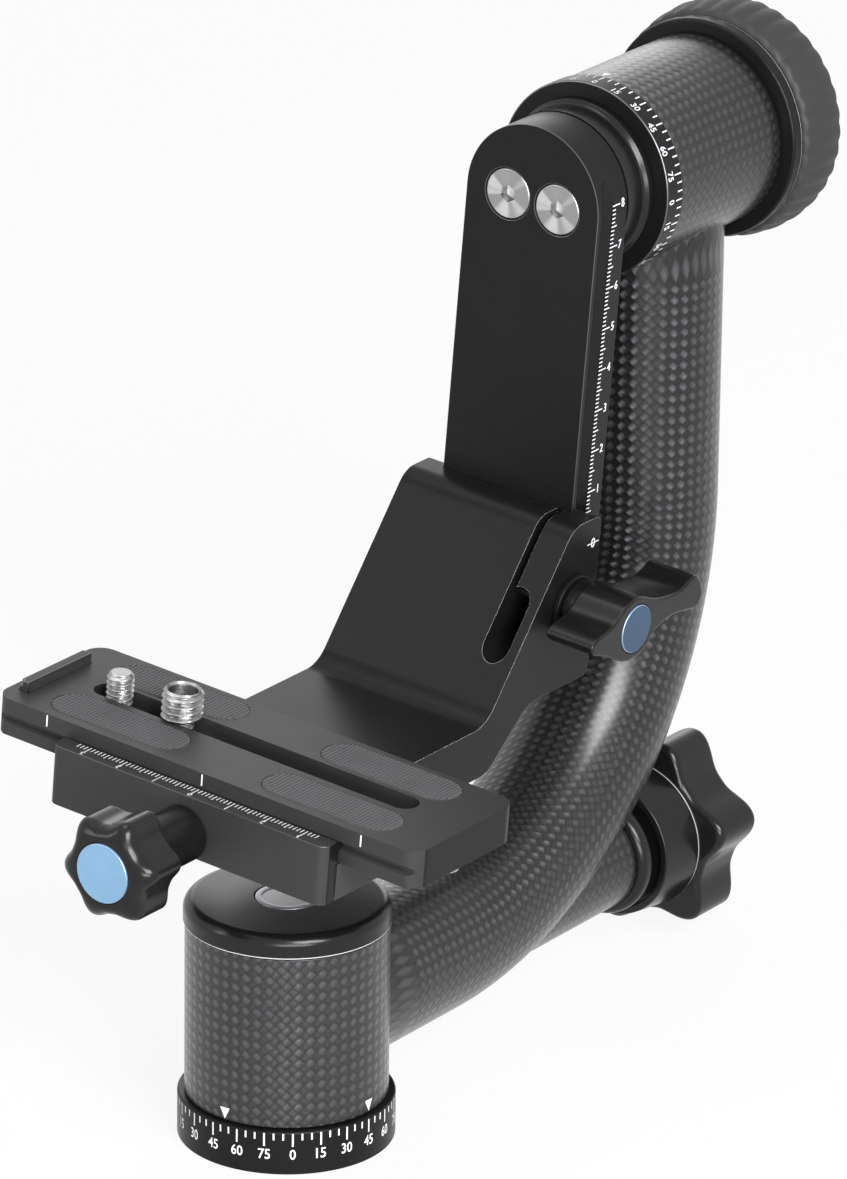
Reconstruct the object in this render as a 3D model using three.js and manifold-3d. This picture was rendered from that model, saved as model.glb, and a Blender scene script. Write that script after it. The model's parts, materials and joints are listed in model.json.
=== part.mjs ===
import * as THREE from 'three';
import { mergeVertices } from 'three/addons/utils/BufferGeometryUtils.js';
import Module from 'manifold-3d';

// Gimbal tripod head with a carbon arm, in millimetres.
// Origin: centre of the base's bottom face, on the pan axis. +Z is up, and +X points from the
// base towards the arm. The tilt axis is parallel to X and lies in the plane y = 0.

const wasm = await Module();
wasm.setup();

// Gaps and tool allowances
const fitGap = 0.3;
const overrun = 1;

// Facets round a turned piece
const sides = { large: 40, medium: 28, small: 18, tiny: 12, hexagon: 6 };
const cornerSteps = 3;

// Heights of the two main axes, and the lean of the hanging cradle about the tilt axis
const armHeight = 26.5;
const tiltHeight = 195.97;
const cradleLean = THREE.MathUtils.degToRad(4.516);

// Base: fixed scale ring, threaded bush, spindle and nut
const baseRing = { radius: 24.58, height: 10.4, edge: 0.5 };
const bush = { radius: 7, bore: 4.76, length: 8.6 };
const spindle = {
  flangeRadius: 16,
  flangeHeight: 3,
  radius: 9,
  grooveDepth: 0.8,
  grooveWidth: 8.4,
  threadRadius: 6,
  threadLength: 5,
};
const panNut = { acrossCorners: 10.4, height: 4 };
const panBearing = { radius: 13.2, height: 8 };

// Pan housing: carbon sleeve round a metal insert, with a cap and a blank badge
const sleeve = { radius: 23, wall: 1.8, rise: 24.9 };
const panInsert = { webBore: 10, webSkin: 1.5 };
const cap = { radius: 23.4, height: 5.6, round: 2.5, spigotHeight: 2.7 };
const badge = { radius: 7.3, height: 1.1, recess: 1 };

// Carbon arm: straight root, quarter bend and upright
const arm = { radius: 14.9, wall: 2.4, bendStart: 51, bendRadius: 89.8, rootStart: 12, steps: 22 };
const armSides = 14;
const lobeSteps = 8;
const lobeSharpness = 1.4;
const ribSteps = 4;
const ribSharpness = 1;
const edgeShare = 0.3;

// Pan lock: stub tube with its ferrule, brake pad, screw and lobed knob
const stub = { radius: 12.7, wall: 1.8, startInset: 84.8, endInset: 21.3 };
const ferrule = { radius: 14.7, round: 1.9, plugLength: 9, width: 4.8 };
const panScrew = { radius: 4, padRadius: 3.9, padLength: 11.7 };
const screwRelief = 1.2;
const panKnob = {
  gap: 1.8,
  hubFrontRadius: 16.6,
  hubBackRadius: 17.9,
  hubLength: 11.7,
  recessRadius: 14.9,
  recessDepth: 2,
  tipRadius: 24.6,
  valleyRadius: 19.2,
  length: 15,
  edge: 1.7,
  lobes: 6,
  phase: -78,
  screwDepth: 20,
};
const panKnobCap = { radius: 8.6, height: 1.4, recess: 1 };

// Tilt housing: carbon tube round a metal insert with two bearings and a brake disc; it reaches
// to both sides of the arm's upright
const housing = { radius: 22.75, wall: 1.85, frontReach: 23.5, backReach: 16.5 };
const tiltInsert = { webBore: 10 };
const tiltBearing = { radius: 13.2, length: 8.6 };
const brakeDisc = { radius: 19, thickness: 2.7 };

// Tilt axle with its flange, and the scale ring that it carries
const axle = {
  radius: 8,
  hubRadius: 18.3,
  hubLength: 9,
  flangeRadius: 19.3,
  flangeWidth: 1.6,
  ringSeatRadius: 12,
};
const tiltRing = { radius: 23.07, width: 6, edge: 0.35 };

// Tilt lock knob: metal core, ribbed rubber grip and end cap
const tiltKnob = {
  gap: 0.7,
  flangeRadius: 26,
  flangeWidth: 3.3,
  edge: 0.5,
  coreRadius: 21.6,
  length: 18.3,
  screwDepth: 9.5,
};
const grip = {
  frontRadius: 26.9,
  middleRadius: 28.1,
  backRadius: 27.2,
  ribDepth: 0.9,
  ribs: 36,
  length: 14.6,
  middleShare: 0.6,
  round: 1.8,
};
const tiltKnobCap = { radius: 13, height: 1.6, recess: 1 };

// Slide plate of the cradle, with its V grooves and two countersunk screws
const plate = { thickness: 11.4, halfWidth: 18.1, toe: 2.7 };
const plateGroove = { start: 1.2, run: 2.2, flat: 1, depth: 2.4 };
const plateScrew = {
  offset: 6.8,
  headRadius: 5.9,
  headDepth: 3.1,
  radius: 2.4,
  length: 17.3,
  sink: 0.1,
  rim: 0.3,
  socketRadius: 2.4,
  socketDepth: 2.4,
};

// L bracket that rides on the slide plate: side profile, ear slit and relief slot
const bracket = {
  halfWidth: 23.7,
  lip: 3.9,
  lug: 7,
  slantRun: 29.2,
  height: 52.4,
  under: 12.8,
  underBackRun: 20,
  underFrontRun: 34.3,
  footHeight: 12.6,
  tongueLength: 16.3,
  tongueHeight: 5.3,
};
const bracketRound = { foot: 4.2, top: 3.2, lip: 4.4, corner: 2.2, underBack: 3.9, underFront: 2.9 };
const earSlit = { outer: 16.2, width: 2 };
const relief = { width: 7, bottom: 23.7, height: 15.3 };

// Bracket lock: axis across the bracket in front of the slide plate, washer, screw and wing knob
const bracketLock = { inset: 5.9, height: 33, screwRadius: 3, screwDepth: 29 };
const lockWasher = { radius: 7.2, thickness: 1.2 };
const wingKnob = {
  neckRadius: 6.6,
  neckLength: 3.4,
  thickness: 13,
  bossRadius: 7.7,
  longReach: 26.6,
  longTipRadius: 4.1,
  longTipRise: 1.6,
  longWaist: 2.9,
  shortReach: 17.2,
  shortTipRadius: 2.3,
  shortTipDrop: 0.3,
  shortWaist: 3,
  bevel: 0.8,
};
const wingKnobCap = { radius: 5.7, height: 1.2, recess: 0.9 };

// Quick release clamp: body, moving jaw, two guide pins, two mounting screws
const clamp = {
  centre: -1.7,
  halfLength: 38,
  floor: 8.7,
  wall: 4.6,
  jawWall: 5.3,
  split: 0.1,
  jawGap: 1,
  hookHeight: 5.24,
  cornerRadius: 2.5,
};
const channel = { halfWidth: 3.3, depth: 2.4, blockHalfLength: 18.2 };
const jawPin = { radius: 2, offset: 26, height: 4.5, jawDepth: 2.6, bodyDepth: 8.8 };
const clampScrew = { radius: 2.5, height: 5.4, depth: 11 };
const mountScrew = {
  radius: 2,
  headRadius: 3.5,
  headHeight: 2.2,
  inset: 7.9,
  offset: 14,
  sink: 0.4,
  length: 7.4,
};

// Clamp knob on the moving jaw
const clampKnob = {
  neckRadius: 6.5,
  neckLength: 16.7,
  tipRadius: 12.7,
  valleyRadius: 10.4,
  length: 8.4,
  noseLength: 4,
  noseRadius: 7.9,
  edge: 0.9,
  lobes: 6,
  phase: -78,
};
const clampKnobCap = { radius: 6.9, height: 1.1, recess: 0.8 };

// Lens plate: slab with edge grooves, slot, pads, stop bar and safety screws
const lens = {
  halfWidth: 19,
  lowerHalfWidth: 18.7,
  halfLength: 58.5,
  top: 91,
  thickness: 9,
  cornerRadius: 4.5,
  grooveDepth: 1.6,
  grooveBelowTop: 3.8,
  grooveSlope: 0.8,
  grooveFlat: 0.8,
};
const slot = { offset: 0.9, halfWidth: 3.5, endInset: 13.5, footInset: 14.5 };
const headSlot = { halfWidth: 6.2, extra: 3, roof: 4.4 };
const pad = {
  halfLength: 18,
  halfWidth: 5.75,
  endInset: 11.1,
  frontGap: 2.2,
  backGap: 1.3,
  proud: 0.2,
  thickness: 1.2,
};
const stopBar = { frontInset: 5.7, length: 23, endInset: 2.5, width: 2.6, proud: 2.5, recess: 1 };
const safetyScrew = { endInset: 4.5, headRadius: 2.5, headHeight: 2.1, radius: 1.3, length: 3.8 };

// Camera screws that slide and turn in the slot
const cameraScrew = { headRadius: 5.5, headHeight: 2.8, headSink: 0.4 };
const smallScrew = { radius: 3.175, endGap: 6.5, proud: 5.5 };
const largeScrew = { radius: 3.1, endGap: 24, proud: 4 };
const adapterBush = { radius: 4.76, bore: 3.4, proud: 7.2 };
const slotWasher = { radius: 5.6, bore: 3.5, thickness: 0.8 };

// Places along X that follow from the arm's upright
const armUprightX = arm.bendStart + arm.bendRadius;
const stubStart = armUprightX - stub.startInset;
const stubEnd = armUprightX - stub.endInset;
const housingFront = armUprightX - housing.frontReach;
const housingBack = armUprightX + housing.backReach;
const tiltKnobFront = housingBack + tiltKnob.gap;
const tiltRingBack = housingFront - fitGap;
const tiltRingFront = tiltRingBack - tiltRing.width;
const plateBack = tiltRingFront - axle.hubLength;
const plateFront = plateBack - plate.thickness;
const bracketBack = plateFront + bracket.lip;
const lockX = plateFront - bracketLock.inset;

// Heights of the pan housing, from the arm's axis
const sleeveTop = armHeight + sleeve.rise;
const capTop = sleeveTop + cap.height;

// Places across the lens plate and its clamp
const clampFront = clamp.centre - lens.halfWidth - clamp.split;
const clampBack = clamp.centre + lens.halfWidth + clamp.wall;
const jawFront = clamp.centre - lens.halfWidth - clamp.jawWall;
const slotX = clamp.centre + slot.offset;
const padFrontX = slotX - slot.halfWidth - pad.frontGap - pad.halfWidth;
const padBackX = slotX + slot.halfWidth + pad.backGap + pad.halfWidth;
const padY = lens.halfLength - pad.endInset - pad.halfLength;
const slotHigh = lens.halfLength - slot.endInset;
const slotLow = slot.footInset - lens.halfLength;
const stopBarHigh = lens.halfLength - stopBar.endInset;
const stopBarLow = stopBarHigh - stopBar.width;
const stopBarFront = clamp.centre - lens.halfWidth + stopBar.frontInset;
const safetyScrewY = lens.halfLength - safetyScrew.endInset;

// Heights of the lens plate, its clamp and the bracket
const lensBottom = lens.top - lens.thickness;
const clampTop = lensBottom - fitGap;
const clampBottom = clampTop - clamp.floor;
const jawTop = lensBottom + clamp.hookHeight;
const grooveTop = lens.top - lens.grooveBelowTop;
const grooveFlatTop = grooveTop - lens.grooveSlope;
const grooveFlatBottom = grooveFlatTop - lens.grooveFlat;
const grooveBottom = grooveFlatBottom - lens.grooveSlope;
const footTop = clampBottom + bracket.footHeight;
const bracketTop = clampBottom + bracket.height;
const bracketUnder = clampBottom + bracket.under;
const plateBottom = bracketUnder + plate.toe;
const reliefBottom = clampBottom + relief.bottom;
const reliefTop = reliefBottom + relief.height;
const lockZ = clampBottom + bracketLock.height;
const clampScrewZ = clampBottom + clampScrew.height;
const jawPinZ = clampBottom + jawPin.height;

// Finishes
const finish = {
  black: new THREE.MeshStandardMaterial({ color: 0x17181a, roughness: 0.4, metalness: 0.7 }),
  carbon: new THREE.MeshStandardMaterial({ color: 0x26272a, roughness: 0.35, metalness: 0.1 }),
  rubber: new THREE.MeshStandardMaterial({ color: 0x1d1d1e, roughness: 0.8, metalness: 0 }),
  steel: new THREE.MeshStandardMaterial({ color: 0xb9bbbd, roughness: 0.3, metalness: 1 }),
  alloy: new THREE.MeshStandardMaterial({ color: 0x9a9c9f, roughness: 0.4, metalness: 1 }),
  blue: new THREE.MeshStandardMaterial({ color: 0x6f9fc8, roughness: 0.4, metalness: 0.4 }),
  nylon: new THREE.MeshStandardMaterial({ color: 0xd8d5cb, roughness: 0.6, metalness: 0 }),
};

// Axis mappings: an outline drawn in the named plane is pushed along the third axis
const axisX = new THREE.Vector3(1, 0, 0);
const axisY = new THREE.Vector3(0, 1, 0);
const axisZ = new THREE.Vector3(0, 0, 1);
const drawnInYZ = new THREE.Matrix4().makeBasis(axisY, axisZ, axisX);
const drawnInXZ = new THREE.Matrix4().makeBasis(axisX, axisZ, axisY.clone().negate());
const revolvedAboutX = new THREE.Matrix4().makeBasis(axisY, axisX, axisZ.clone().negate());
const revolvedAboutZ = new THREE.Matrix4().makeBasis(axisX, axisZ, axisY.clone().negate());

// A closed three.js geometry becomes a solid
function solid(geometry) {
  geometry.deleteAttribute('normal');
  geometry.deleteAttribute('uv');
  const merged = mergeVertices(geometry);
  const index = merged.index.array;
  const kept = [];
  for (let i = 0; i < index.length; i += 3) {
    const [a, b, c] = [index[i], index[i + 1], index[i + 2]];
    if (a !== b && b !== c && c !== a) kept.push(a, b, c);
  }
  const mesh = new wasm.Mesh({
    numProp: 3,
    vertProperties: new Float32Array(merged.attributes.position.array),
    triVerts: new Uint32Array(kept),
  });
  return new wasm.Manifold(mesh);
}

// A solid becomes a named mesh
function piece(name, body, material) {
  const mesh = body.getMesh();
  const geometry = new THREE.BufferGeometry();
  geometry.setAttribute('position', new THREE.BufferAttribute(Float32Array.from(mesh.vertProperties), 3));
  geometry.setIndex(new THREE.BufferAttribute(Uint32Array.from(mesh.triVerts), 1));
  geometry.computeVertexNormals();
  const result = new THREE.Mesh(geometry, material);
  result.name = name;
  return result;
}

function join(...bodies) {
  return bodies.reduce((whole, body) => whole.add(body));
}

function cut(body, ...tools) {
  return tools.reduce((left, tool) => left.subtract(tool), body);
}

// Two like pieces, one on each side of the middle
function mirrored(make) {
  return [1, -1].map(make);
}

// A block between two corners
function block(x0, x1, y0, y1, z0, z1) {
  const geometry = new THREE.BoxGeometry(x1 - x0, y1 - y0, z1 - z0);
  geometry.translate((x0 + x1) / 2, (y0 + y1) / 2, (z0 + z1) / 2);
  return solid(geometry);
}

// A profile of [radius, height] pairs turned about the Z axis
function turned(profile, count) {
  const points = profile.map(([r, h]) => new THREE.Vector2(r, h));
  return solid(new THREE.LatheGeometry(points, count).applyMatrix4(revolvedAboutZ));
}

// The same, turned about a line parallel to X at height z
function turnedX(profile, count, z) {
  const points = profile.map(([r, x]) => new THREE.Vector2(r, x));
  const geometry = new THREE.LatheGeometry(points, count).applyMatrix4(revolvedAboutX);
  return solid(geometry.translate(0, 0, z));
}

// A straight rod between two stations of an axis, at the given place on the other two axes
function rodX(radius, x0, x1, y, z, count) {
  const geometry = new THREE.CylinderGeometry(radius, radius, x1 - x0, count);
  geometry.rotateZ(-Math.PI / 2);
  return solid(geometry.translate((x0 + x1) / 2, y, z));
}

function rodY(radius, y0, y1, x, z, count) {
  const geometry = new THREE.CylinderGeometry(radius, radius, y1 - y0, count);
  return solid(geometry.translate(x, (y0 + y1) / 2, z));
}

function rodZ(radius, z0, z1, x, y, count) {
  const geometry = new THREE.CylinderGeometry(radius, radius, z1 - z0, count);
  geometry.rotateX(Math.PI / 2);
  return solid(geometry.translate(x, y, (z0 + z1) / 2));
}

// A straight-sided outline
function outline(points) {
  return new THREE.Shape(points.map(([u, v]) => new THREE.Vector2(u, v)));
}

// A rectangle with round corners, from its centre
function roundedRectangle(u, v, halfU, halfV, radius) {
  const shape = new THREE.Shape();
  const quarter = Math.PI / 2;
  shape.moveTo(u + halfU, v + halfV - radius);
  shape.absarc(u + halfU - radius, v + halfV - radius, radius, 0, quarter);
  shape.absarc(u - halfU + radius, v + halfV - radius, radius, quarter, 2 * quarter);
  shape.absarc(u - halfU + radius, v - halfV + radius, radius, 2 * quarter, 3 * quarter);
  shape.absarc(u + halfU - radius, v - halfV + radius, radius, 3 * quarter, 4 * quarter);
  return shape;
}

function extrude(shape, depth, matrix, curveSegments = cornerSteps) {
  const geometry = new THREE.ExtrudeGeometry(shape, { depth, bevelEnabled: false, curveSegments });
  return matrix ? geometry.applyMatrix4(matrix) : geometry;
}

// Prisms: drawn in XY and raised, drawn in XZ and pushed across, drawn in YZ and pushed along X
function prismZ(shape, z0, z1, curveSegments) {
  return solid(extrude(shape, z1 - z0, null, curveSegments).translate(0, 0, z0));
}

function prismY(shape, y0, y1, curveSegments) {
  return solid(extrude(shape, y1 - y0, drawnInXZ, curveSegments).translate(0, y1, 0));
}

function prismX(shape, x0, x1, curveSegments) {
  return solid(extrude(shape, x1 - x0, drawnInYZ, curveSegments).translate(x0, 0, 0));
}

// A quarter round in a profile, from one angle to another about a centre
function arcPoints(r, h, radius, fromDegrees, toDegrees) {
  const points = [];
  for (let i = 0; i <= cornerSteps; i += 1) {
    const angle = THREE.MathUtils.degToRad(fromDegrees + ((toDegrees - fromDegrees) * i) / cornerSteps);
    points.push([r + radius * Math.cos(angle), h + radius * Math.sin(angle)]);
  }
  return points;
}

// A body lofted through lobed rings along X; each ring has its station, tip and valley radius
function lobedX(rings, lobes, phaseDegrees, stepsPerLobe, sharpness, z) {
  const count = lobes * stepsPerLobe;
  const positions = [];
  for (const ring of rings) {
    for (let i = 0; i < count; i += 1) {
      const angle = (2 * Math.PI * i) / count;
      const wave = (0.5 + 0.5 * Math.cos(lobes * angle)) ** sharpness;
      const radius = ring.valley + (ring.tip - ring.valley) * wave;
      const turn = angle + THREE.MathUtils.degToRad(phaseDegrees);
      positions.push(ring.x, radius * Math.sin(turn), z + radius * Math.cos(turn));
    }
  }
  const first = positions.length / 3;
  positions.push(rings[0].x, 0, z);
  positions.push(rings[rings.length - 1].x, 0, z);
  const index = [];
  for (let i = 0; i < count; i += 1) {
    const next = (i + 1) % count;
    index.push(first, i, next);
    for (let ring = 0; ring < rings.length - 1; ring += 1) {
      const low = ring * count;
      const high = low + count;
      index.push(low + i, high + i, high + next, low + i, high + next, low + next);
    }
    const last = (rings.length - 1) * count;
    index.push(first + 1, last + next, last + i);
  }
  const geometry = new THREE.BufferGeometry();
  geometry.setAttribute('position', new THREE.Float32BufferAttribute(positions, 3));
  geometry.setIndex(index);
  return solid(geometry);
}

// Base

const baseTop = baseRing.height;

function makeBaseRing() {
  const { radius, height, edge } = baseRing;
  const holeRadius = bush.radius + fitGap;
  const holeDepth = bush.length + fitGap;
  return turned([
    [0, holeDepth],
    [holeRadius, holeDepth],
    [holeRadius, 0],
    [radius - edge, 0],
    [radius, edge],
    [radius, height - edge],
    [radius - edge, height],
    [0, height],
  ], sides.large);
}

function makeTripodBush() {
  return turned([
    [bush.bore, 0],
    [bush.radius, 0],
    [bush.radius, bush.length],
    [bush.bore, bush.length],
    [bush.bore, 0],
  ], sides.small);
}

// Stations up the spindle; the insert's web stands round the brake pad, at the arm's height
const spindleFlangeTop = baseTop + spindle.flangeHeight;
const lowerBearingBottom = spindleFlangeTop + fitGap;
const padHole = panScrew.padRadius + fitGap;
const webBottom = armHeight - padHole - panInsert.webSkin;
const webTop = armHeight + padHole + panInsert.webSkin;
const lowerBearingTop = webBottom - fitGap;
const upperBearingBottom = webTop + fitGap;
const upperBearingTop = upperBearingBottom + panBearing.height;
const spindleTop = upperBearingTop + fitGap;
const nutBottom = spindleTop;

function makeSpindle() {
  const { flangeRadius, radius, grooveDepth, grooveWidth, threadRadius, threadLength } = spindle;
  const grooveLow = armHeight - grooveWidth / 2;
  const grooveHigh = armHeight + grooveWidth / 2;
  return turned([
    [0, baseTop],
    [flangeRadius, baseTop],
    [flangeRadius, spindleFlangeTop],
    [radius, spindleFlangeTop],
    [radius, grooveLow - grooveDepth],
    [radius - grooveDepth, grooveLow],
    [radius - grooveDepth, grooveHigh],
    [radius, grooveHigh + grooveDepth],
    [radius, spindleTop],
    [threadRadius, spindleTop],
    [threadRadius, spindleTop + threadLength],
    [0, spindleTop + threadLength],
  ], sides.medium);
}

function makePanNut() {
  const body = rodZ(panNut.acrossCorners, nutBottom, nutBottom + panNut.height, 0, 0, sides.hexagon);
  const bore = rodZ(
    spindle.threadRadius + fitGap, nutBottom - overrun, nutBottom + panNut.height + overrun,
    0, 0, sides.small,
  );
  return cut(body, bore);
}

function makePanBearing(bottom, top) {
  const inner = spindle.radius + fitGap;
  return turned([
    [inner, bottom],
    [panBearing.radius, bottom],
    [panBearing.radius, top],
    [inner, top],
    [inner, bottom],
  ], sides.medium);
}

// Pan housing

const housingBottom = baseTop + fitGap;
const sleeveBore = sleeve.radius - sleeve.wall;
const panInsertRadius = sleeveBore - fitGap;
const panInsertTop = sleeveTop - cap.spigotHeight - fitGap;
function makePanInsert() {
  const counterbore = spindle.flangeRadius + fitGap;
  const bearingBore = panBearing.radius + fitGap;
  const body = turned([
    [counterbore, housingBottom],
    [panInsertRadius, housingBottom],
    [panInsertRadius, panInsertTop],
    [bearingBore, panInsertTop],
    [bearingBore, webTop],
    [panInsert.webBore, webTop],
    [panInsert.webBore, webBottom],
    [bearingBore, webBottom],
    [bearingBore, lowerBearingBottom],
    [counterbore, lowerBearingBottom],
    [counterbore, housingBottom],
  ], sides.medium);
  return cut(body, rodX(padHole, 0, sleeve.radius, 0, armHeight, sides.tiny));
}

function makePanSleeve() {
  const body = turned([
    [sleeveBore, housingBottom],
    [sleeve.radius, housingBottom],
    [sleeve.radius, sleeveTop],
    [sleeveBore, sleeveTop],
    [sleeveBore, housingBottom],
  ], sides.large);
  const hole = rodX(panScrew.radius + screwRelief, 0, sleeve.radius + overrun, 0, armHeight, sides.tiny);
  return cut(body, hole);
}

function makeBaseCap() {
  const bottom = sleeveTop + fitGap;
  const spigotRadius = sleeveBore - fitGap;
  const recessRadius = badge.radius + fitGap;
  return turned([
    [0, bottom - cap.spigotHeight],
    [spigotRadius, bottom - cap.spigotHeight],
    [spigotRadius, bottom],
    [cap.radius, bottom],
    ...arcPoints(cap.radius - cap.round, capTop - cap.round, cap.round, 0, 90),
    [recessRadius, capTop],
    [recessRadius, capTop - badge.recess],
    [0, capTop - badge.recess],
  ], sides.large);
}

function makeBadge() {
  const bottom = capTop - badge.recess;
  return rodZ(badge.radius, bottom, bottom + badge.height, 0, 0, sides.medium);
}

// Carbon arm

// Centreline of the arm, run at a steady pace
class ArmCentreline extends THREE.Curve {
  constructor() {
    super();
    this.root = arm.bendStart - arm.rootStart;
    this.bend = (arm.bendRadius * Math.PI) / 2;
    this.upright = tiltHeight - armHeight - arm.bendRadius;
  }

  getPoint(t, target = new THREE.Vector3()) {
    const run = t * (this.root + this.bend + this.upright);
    if (run < this.root) return target.set(arm.rootStart + run, 0, armHeight);
    if (run < this.root + this.bend) {
      const angle = (run - this.root) / arm.bendRadius;
      const x = arm.bendStart + arm.bendRadius * Math.sin(angle);
      return target.set(x, 0, armHeight + arm.bendRadius * (1 - Math.cos(angle)));
    }
    const rise = run - this.root - this.bend;
    return target.set(armUprightX, 0, armHeight + arm.bendRadius + rise);
  }
}

// A round bar swept along the arm's centreline
function armBar(radius) {
  const section = new THREE.Shape();
  section.absarc(0, 0, radius, 0, 2 * Math.PI);
  const geometry = new THREE.ExtrudeGeometry(section, {
    steps: arm.steps,
    curveSegments: armSides,
    extrudePath: new ArmCentreline(),
  });
  return solid(geometry);
}

function makeArm() {
  const sleeveTool = rodZ(
    sleeve.radius + fitGap, -overrun, capTop + overrun, 0, 0, sides.large,
  );
  const housingTool = rodX(
    housing.radius + fitGap, housingFront - overrun, housingBack + overrun, 0, tiltHeight, sides.large,
  );
  const screwTool = rodX(
    panScrew.radius + screwRelief, arm.bendStart, stubEnd, 0, armHeight, sides.tiny,
  );
  return cut(armBar(arm.radius), armBar(arm.radius - arm.wall), sleeveTool, housingTool, screwTool);
}

// Pan lock

function makeStub() {
  const tube = rodX(stub.radius, stubStart, stubEnd, 0, armHeight, sides.medium);
  const bore = rodX(
    stub.radius - stub.wall, stubStart - overrun, stubEnd + overrun, 0, armHeight, sides.medium,
  );
  return cut(tube, bore, armBar(arm.radius + fitGap));
}

const ferruleFront = stubEnd + fitGap;
const ferruleBack = ferruleFront + ferrule.width;
const panScrewHole = panScrew.radius + fitGap;

function makeFerrule() {
  const plugRadius = stub.radius - stub.wall - fitGap;
  const { radius, round, plugLength } = ferrule;
  const body = turnedX([
    [panScrewHole, ferruleFront - plugLength],
    [plugRadius, ferruleFront - plugLength],
    [plugRadius, ferruleFront],
    ...arcPoints(radius - round, ferruleFront + round, round, -90, 0),
    ...arcPoints(radius - round, ferruleBack - round, round, 0, 90),
    [panScrewHole, ferruleBack],
    [panScrewHole, ferruleFront - plugLength],
  ], sides.medium, armHeight);
  return cut(body, armBar(arm.radius + fitGap));
}

const padFront = spindle.radius - spindle.grooveDepth + fitGap;
const padBack = padFront + panScrew.padLength;
const panKnobFront = ferruleBack + panKnob.gap;
const panLobesFront = panKnobFront + panKnob.hubLength;
const panKnobBack = panLobesFront + panKnob.length;
const panScrewEnd = panKnobFront + panKnob.screwDepth;

function makeBrakePad() {
  return rodX(panScrew.padRadius, padFront, padBack, 0, armHeight, sides.tiny);
}

function makePanScrew() {
  return rodX(panScrew.radius, padBack + fitGap, panScrewEnd, 0, armHeight, sides.tiny);
}

function makePanKnob() {
  const { hubFrontRadius, hubBackRadius, recessRadius, recessDepth } = panKnob;
  const { edge, tipRadius, valleyRadius } = panKnob;
  const hub = turnedX([
    [0, panKnobFront + recessDepth],
    [recessRadius, panKnobFront + recessDepth],
    [recessRadius, panKnobFront],
    [hubFrontRadius, panKnobFront],
    [hubBackRadius, panLobesFront + edge],
    [0, panLobesFront + edge],
  ], sides.medium, armHeight);
  const rim = (x, inset) => ({ x, tip: tipRadius - inset, valley: valleyRadius - inset });
  const lobes = lobedX([
    rim(panLobesFront, edge),
    rim(panLobesFront + edge * edgeShare, edge * edgeShare),
    rim(panLobesFront + edge, 0),
    rim(panKnobBack - edge, 0),
    rim(panKnobBack - edge * edgeShare, edge * edgeShare),
    rim(panKnobBack, edge),
  ], panKnob.lobes, panKnob.phase, lobeSteps, lobeSharpness, armHeight);
  const bore = rodX(panScrewHole, panKnobFront, panScrewEnd + fitGap, 0, armHeight, sides.tiny);
  const seat = rodX(
    panKnobCap.radius + fitGap, panKnobBack - panKnobCap.recess, panKnobBack + overrun,
    0, armHeight, sides.small,
  );
  return cut(join(hub, lobes), bore, seat);
}

function makePanKnobCap() {
  const seat = panKnobBack - panKnobCap.recess;
  return rodX(panKnobCap.radius, seat, seat + panKnobCap.height, 0, armHeight, sides.small);
}

// Tilt housing

const housingBore = housing.radius - housing.wall;
const discBack = tiltKnobFront - fitGap;
const discFront = discBack - brakeDisc.thickness;
const rearBearingBack = discFront - fitGap;
const rearBearingFront = rearBearingBack - tiltBearing.length;
const frontBearingFront = housingFront + fitGap;
const frontBearingBack = frontBearingFront + tiltBearing.length;

function makeHousing() {
  return turnedX([
    [housingBore, housingFront],
    [housing.radius, housingFront],
    [housing.radius, housingBack],
    [housingBore, housingBack],
    [housingBore, housingFront],
  ], sides.large, tiltHeight);
}

function makeTiltInsert() {
  const outer = housingBore - fitGap;
  const bearingBore = tiltBearing.radius + fitGap;
  const discBore = brakeDisc.radius + fitGap;
  const discSeat = discFront - fitGap;
  const insertBack = housingBack - fitGap;
  return turnedX([
    [bearingBore, housingFront],
    [outer, housingFront],
    [outer, insertBack],
    [discBore, insertBack],
    [discBore, discSeat],
    [bearingBore, discSeat],
    [bearingBore, rearBearingFront - fitGap],
    [tiltInsert.webBore, rearBearingFront - fitGap],
    [tiltInsert.webBore, frontBearingBack + fitGap],
    [bearingBore, frontBearingBack + fitGap],
    [bearingBore, housingFront],
  ], sides.medium, tiltHeight);
}

function makeTiltBearing(front) {
  const inner = axle.radius + fitGap;
  const back = front + tiltBearing.length;
  return turnedX([
    [inner, front],
    [tiltBearing.radius, front],
    [tiltBearing.radius, back],
    [inner, back],
    [inner, front],
  ], sides.medium, tiltHeight);
}

function makeBrakeDisc() {
  const inner = axle.radius + fitGap;
  return turnedX([
    [inner, discFront],
    [brakeDisc.radius, discFront],
    [brakeDisc.radius, discBack],
    [inner, discBack],
    [inner, discFront],
  ], sides.medium, tiltHeight);
}

// Tilt axle and scale ring

const axleFront = plateBack + fitGap;
const axleFlangeBack = tiltRingFront - fitGap;
const axleBack = tiltKnobFront + tiltKnob.screwDepth - fitGap;

function makeAxle() {
  const { radius, hubRadius, flangeRadius, flangeWidth, ringSeatRadius } = axle;
  const flare = flangeRadius - hubRadius;
  const seatBack = tiltRingBack - fitGap;
  const body = turnedX([
    [0, axleFront],
    [hubRadius, axleFront],
    [hubRadius, axleFlangeBack - flangeWidth - flare],
    [flangeRadius, axleFlangeBack - flangeWidth],
    [flangeRadius, axleFlangeBack],
    [ringSeatRadius, axleFlangeBack],
    [ringSeatRadius, seatBack],
    [radius, seatBack],
    [radius, axleBack],
    [0, axleBack],
  ], sides.medium, tiltHeight);
  const depth = plateFront + plateScrew.sink + plateScrew.length + fitGap;
  const holes = mirrored((side) => rodX(
    plateScrew.radius + fitGap, axleFront - overrun, depth, side * plateScrew.offset, tiltHeight, sides.tiny,
  ));
  return cut(body, ...holes);
}

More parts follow.
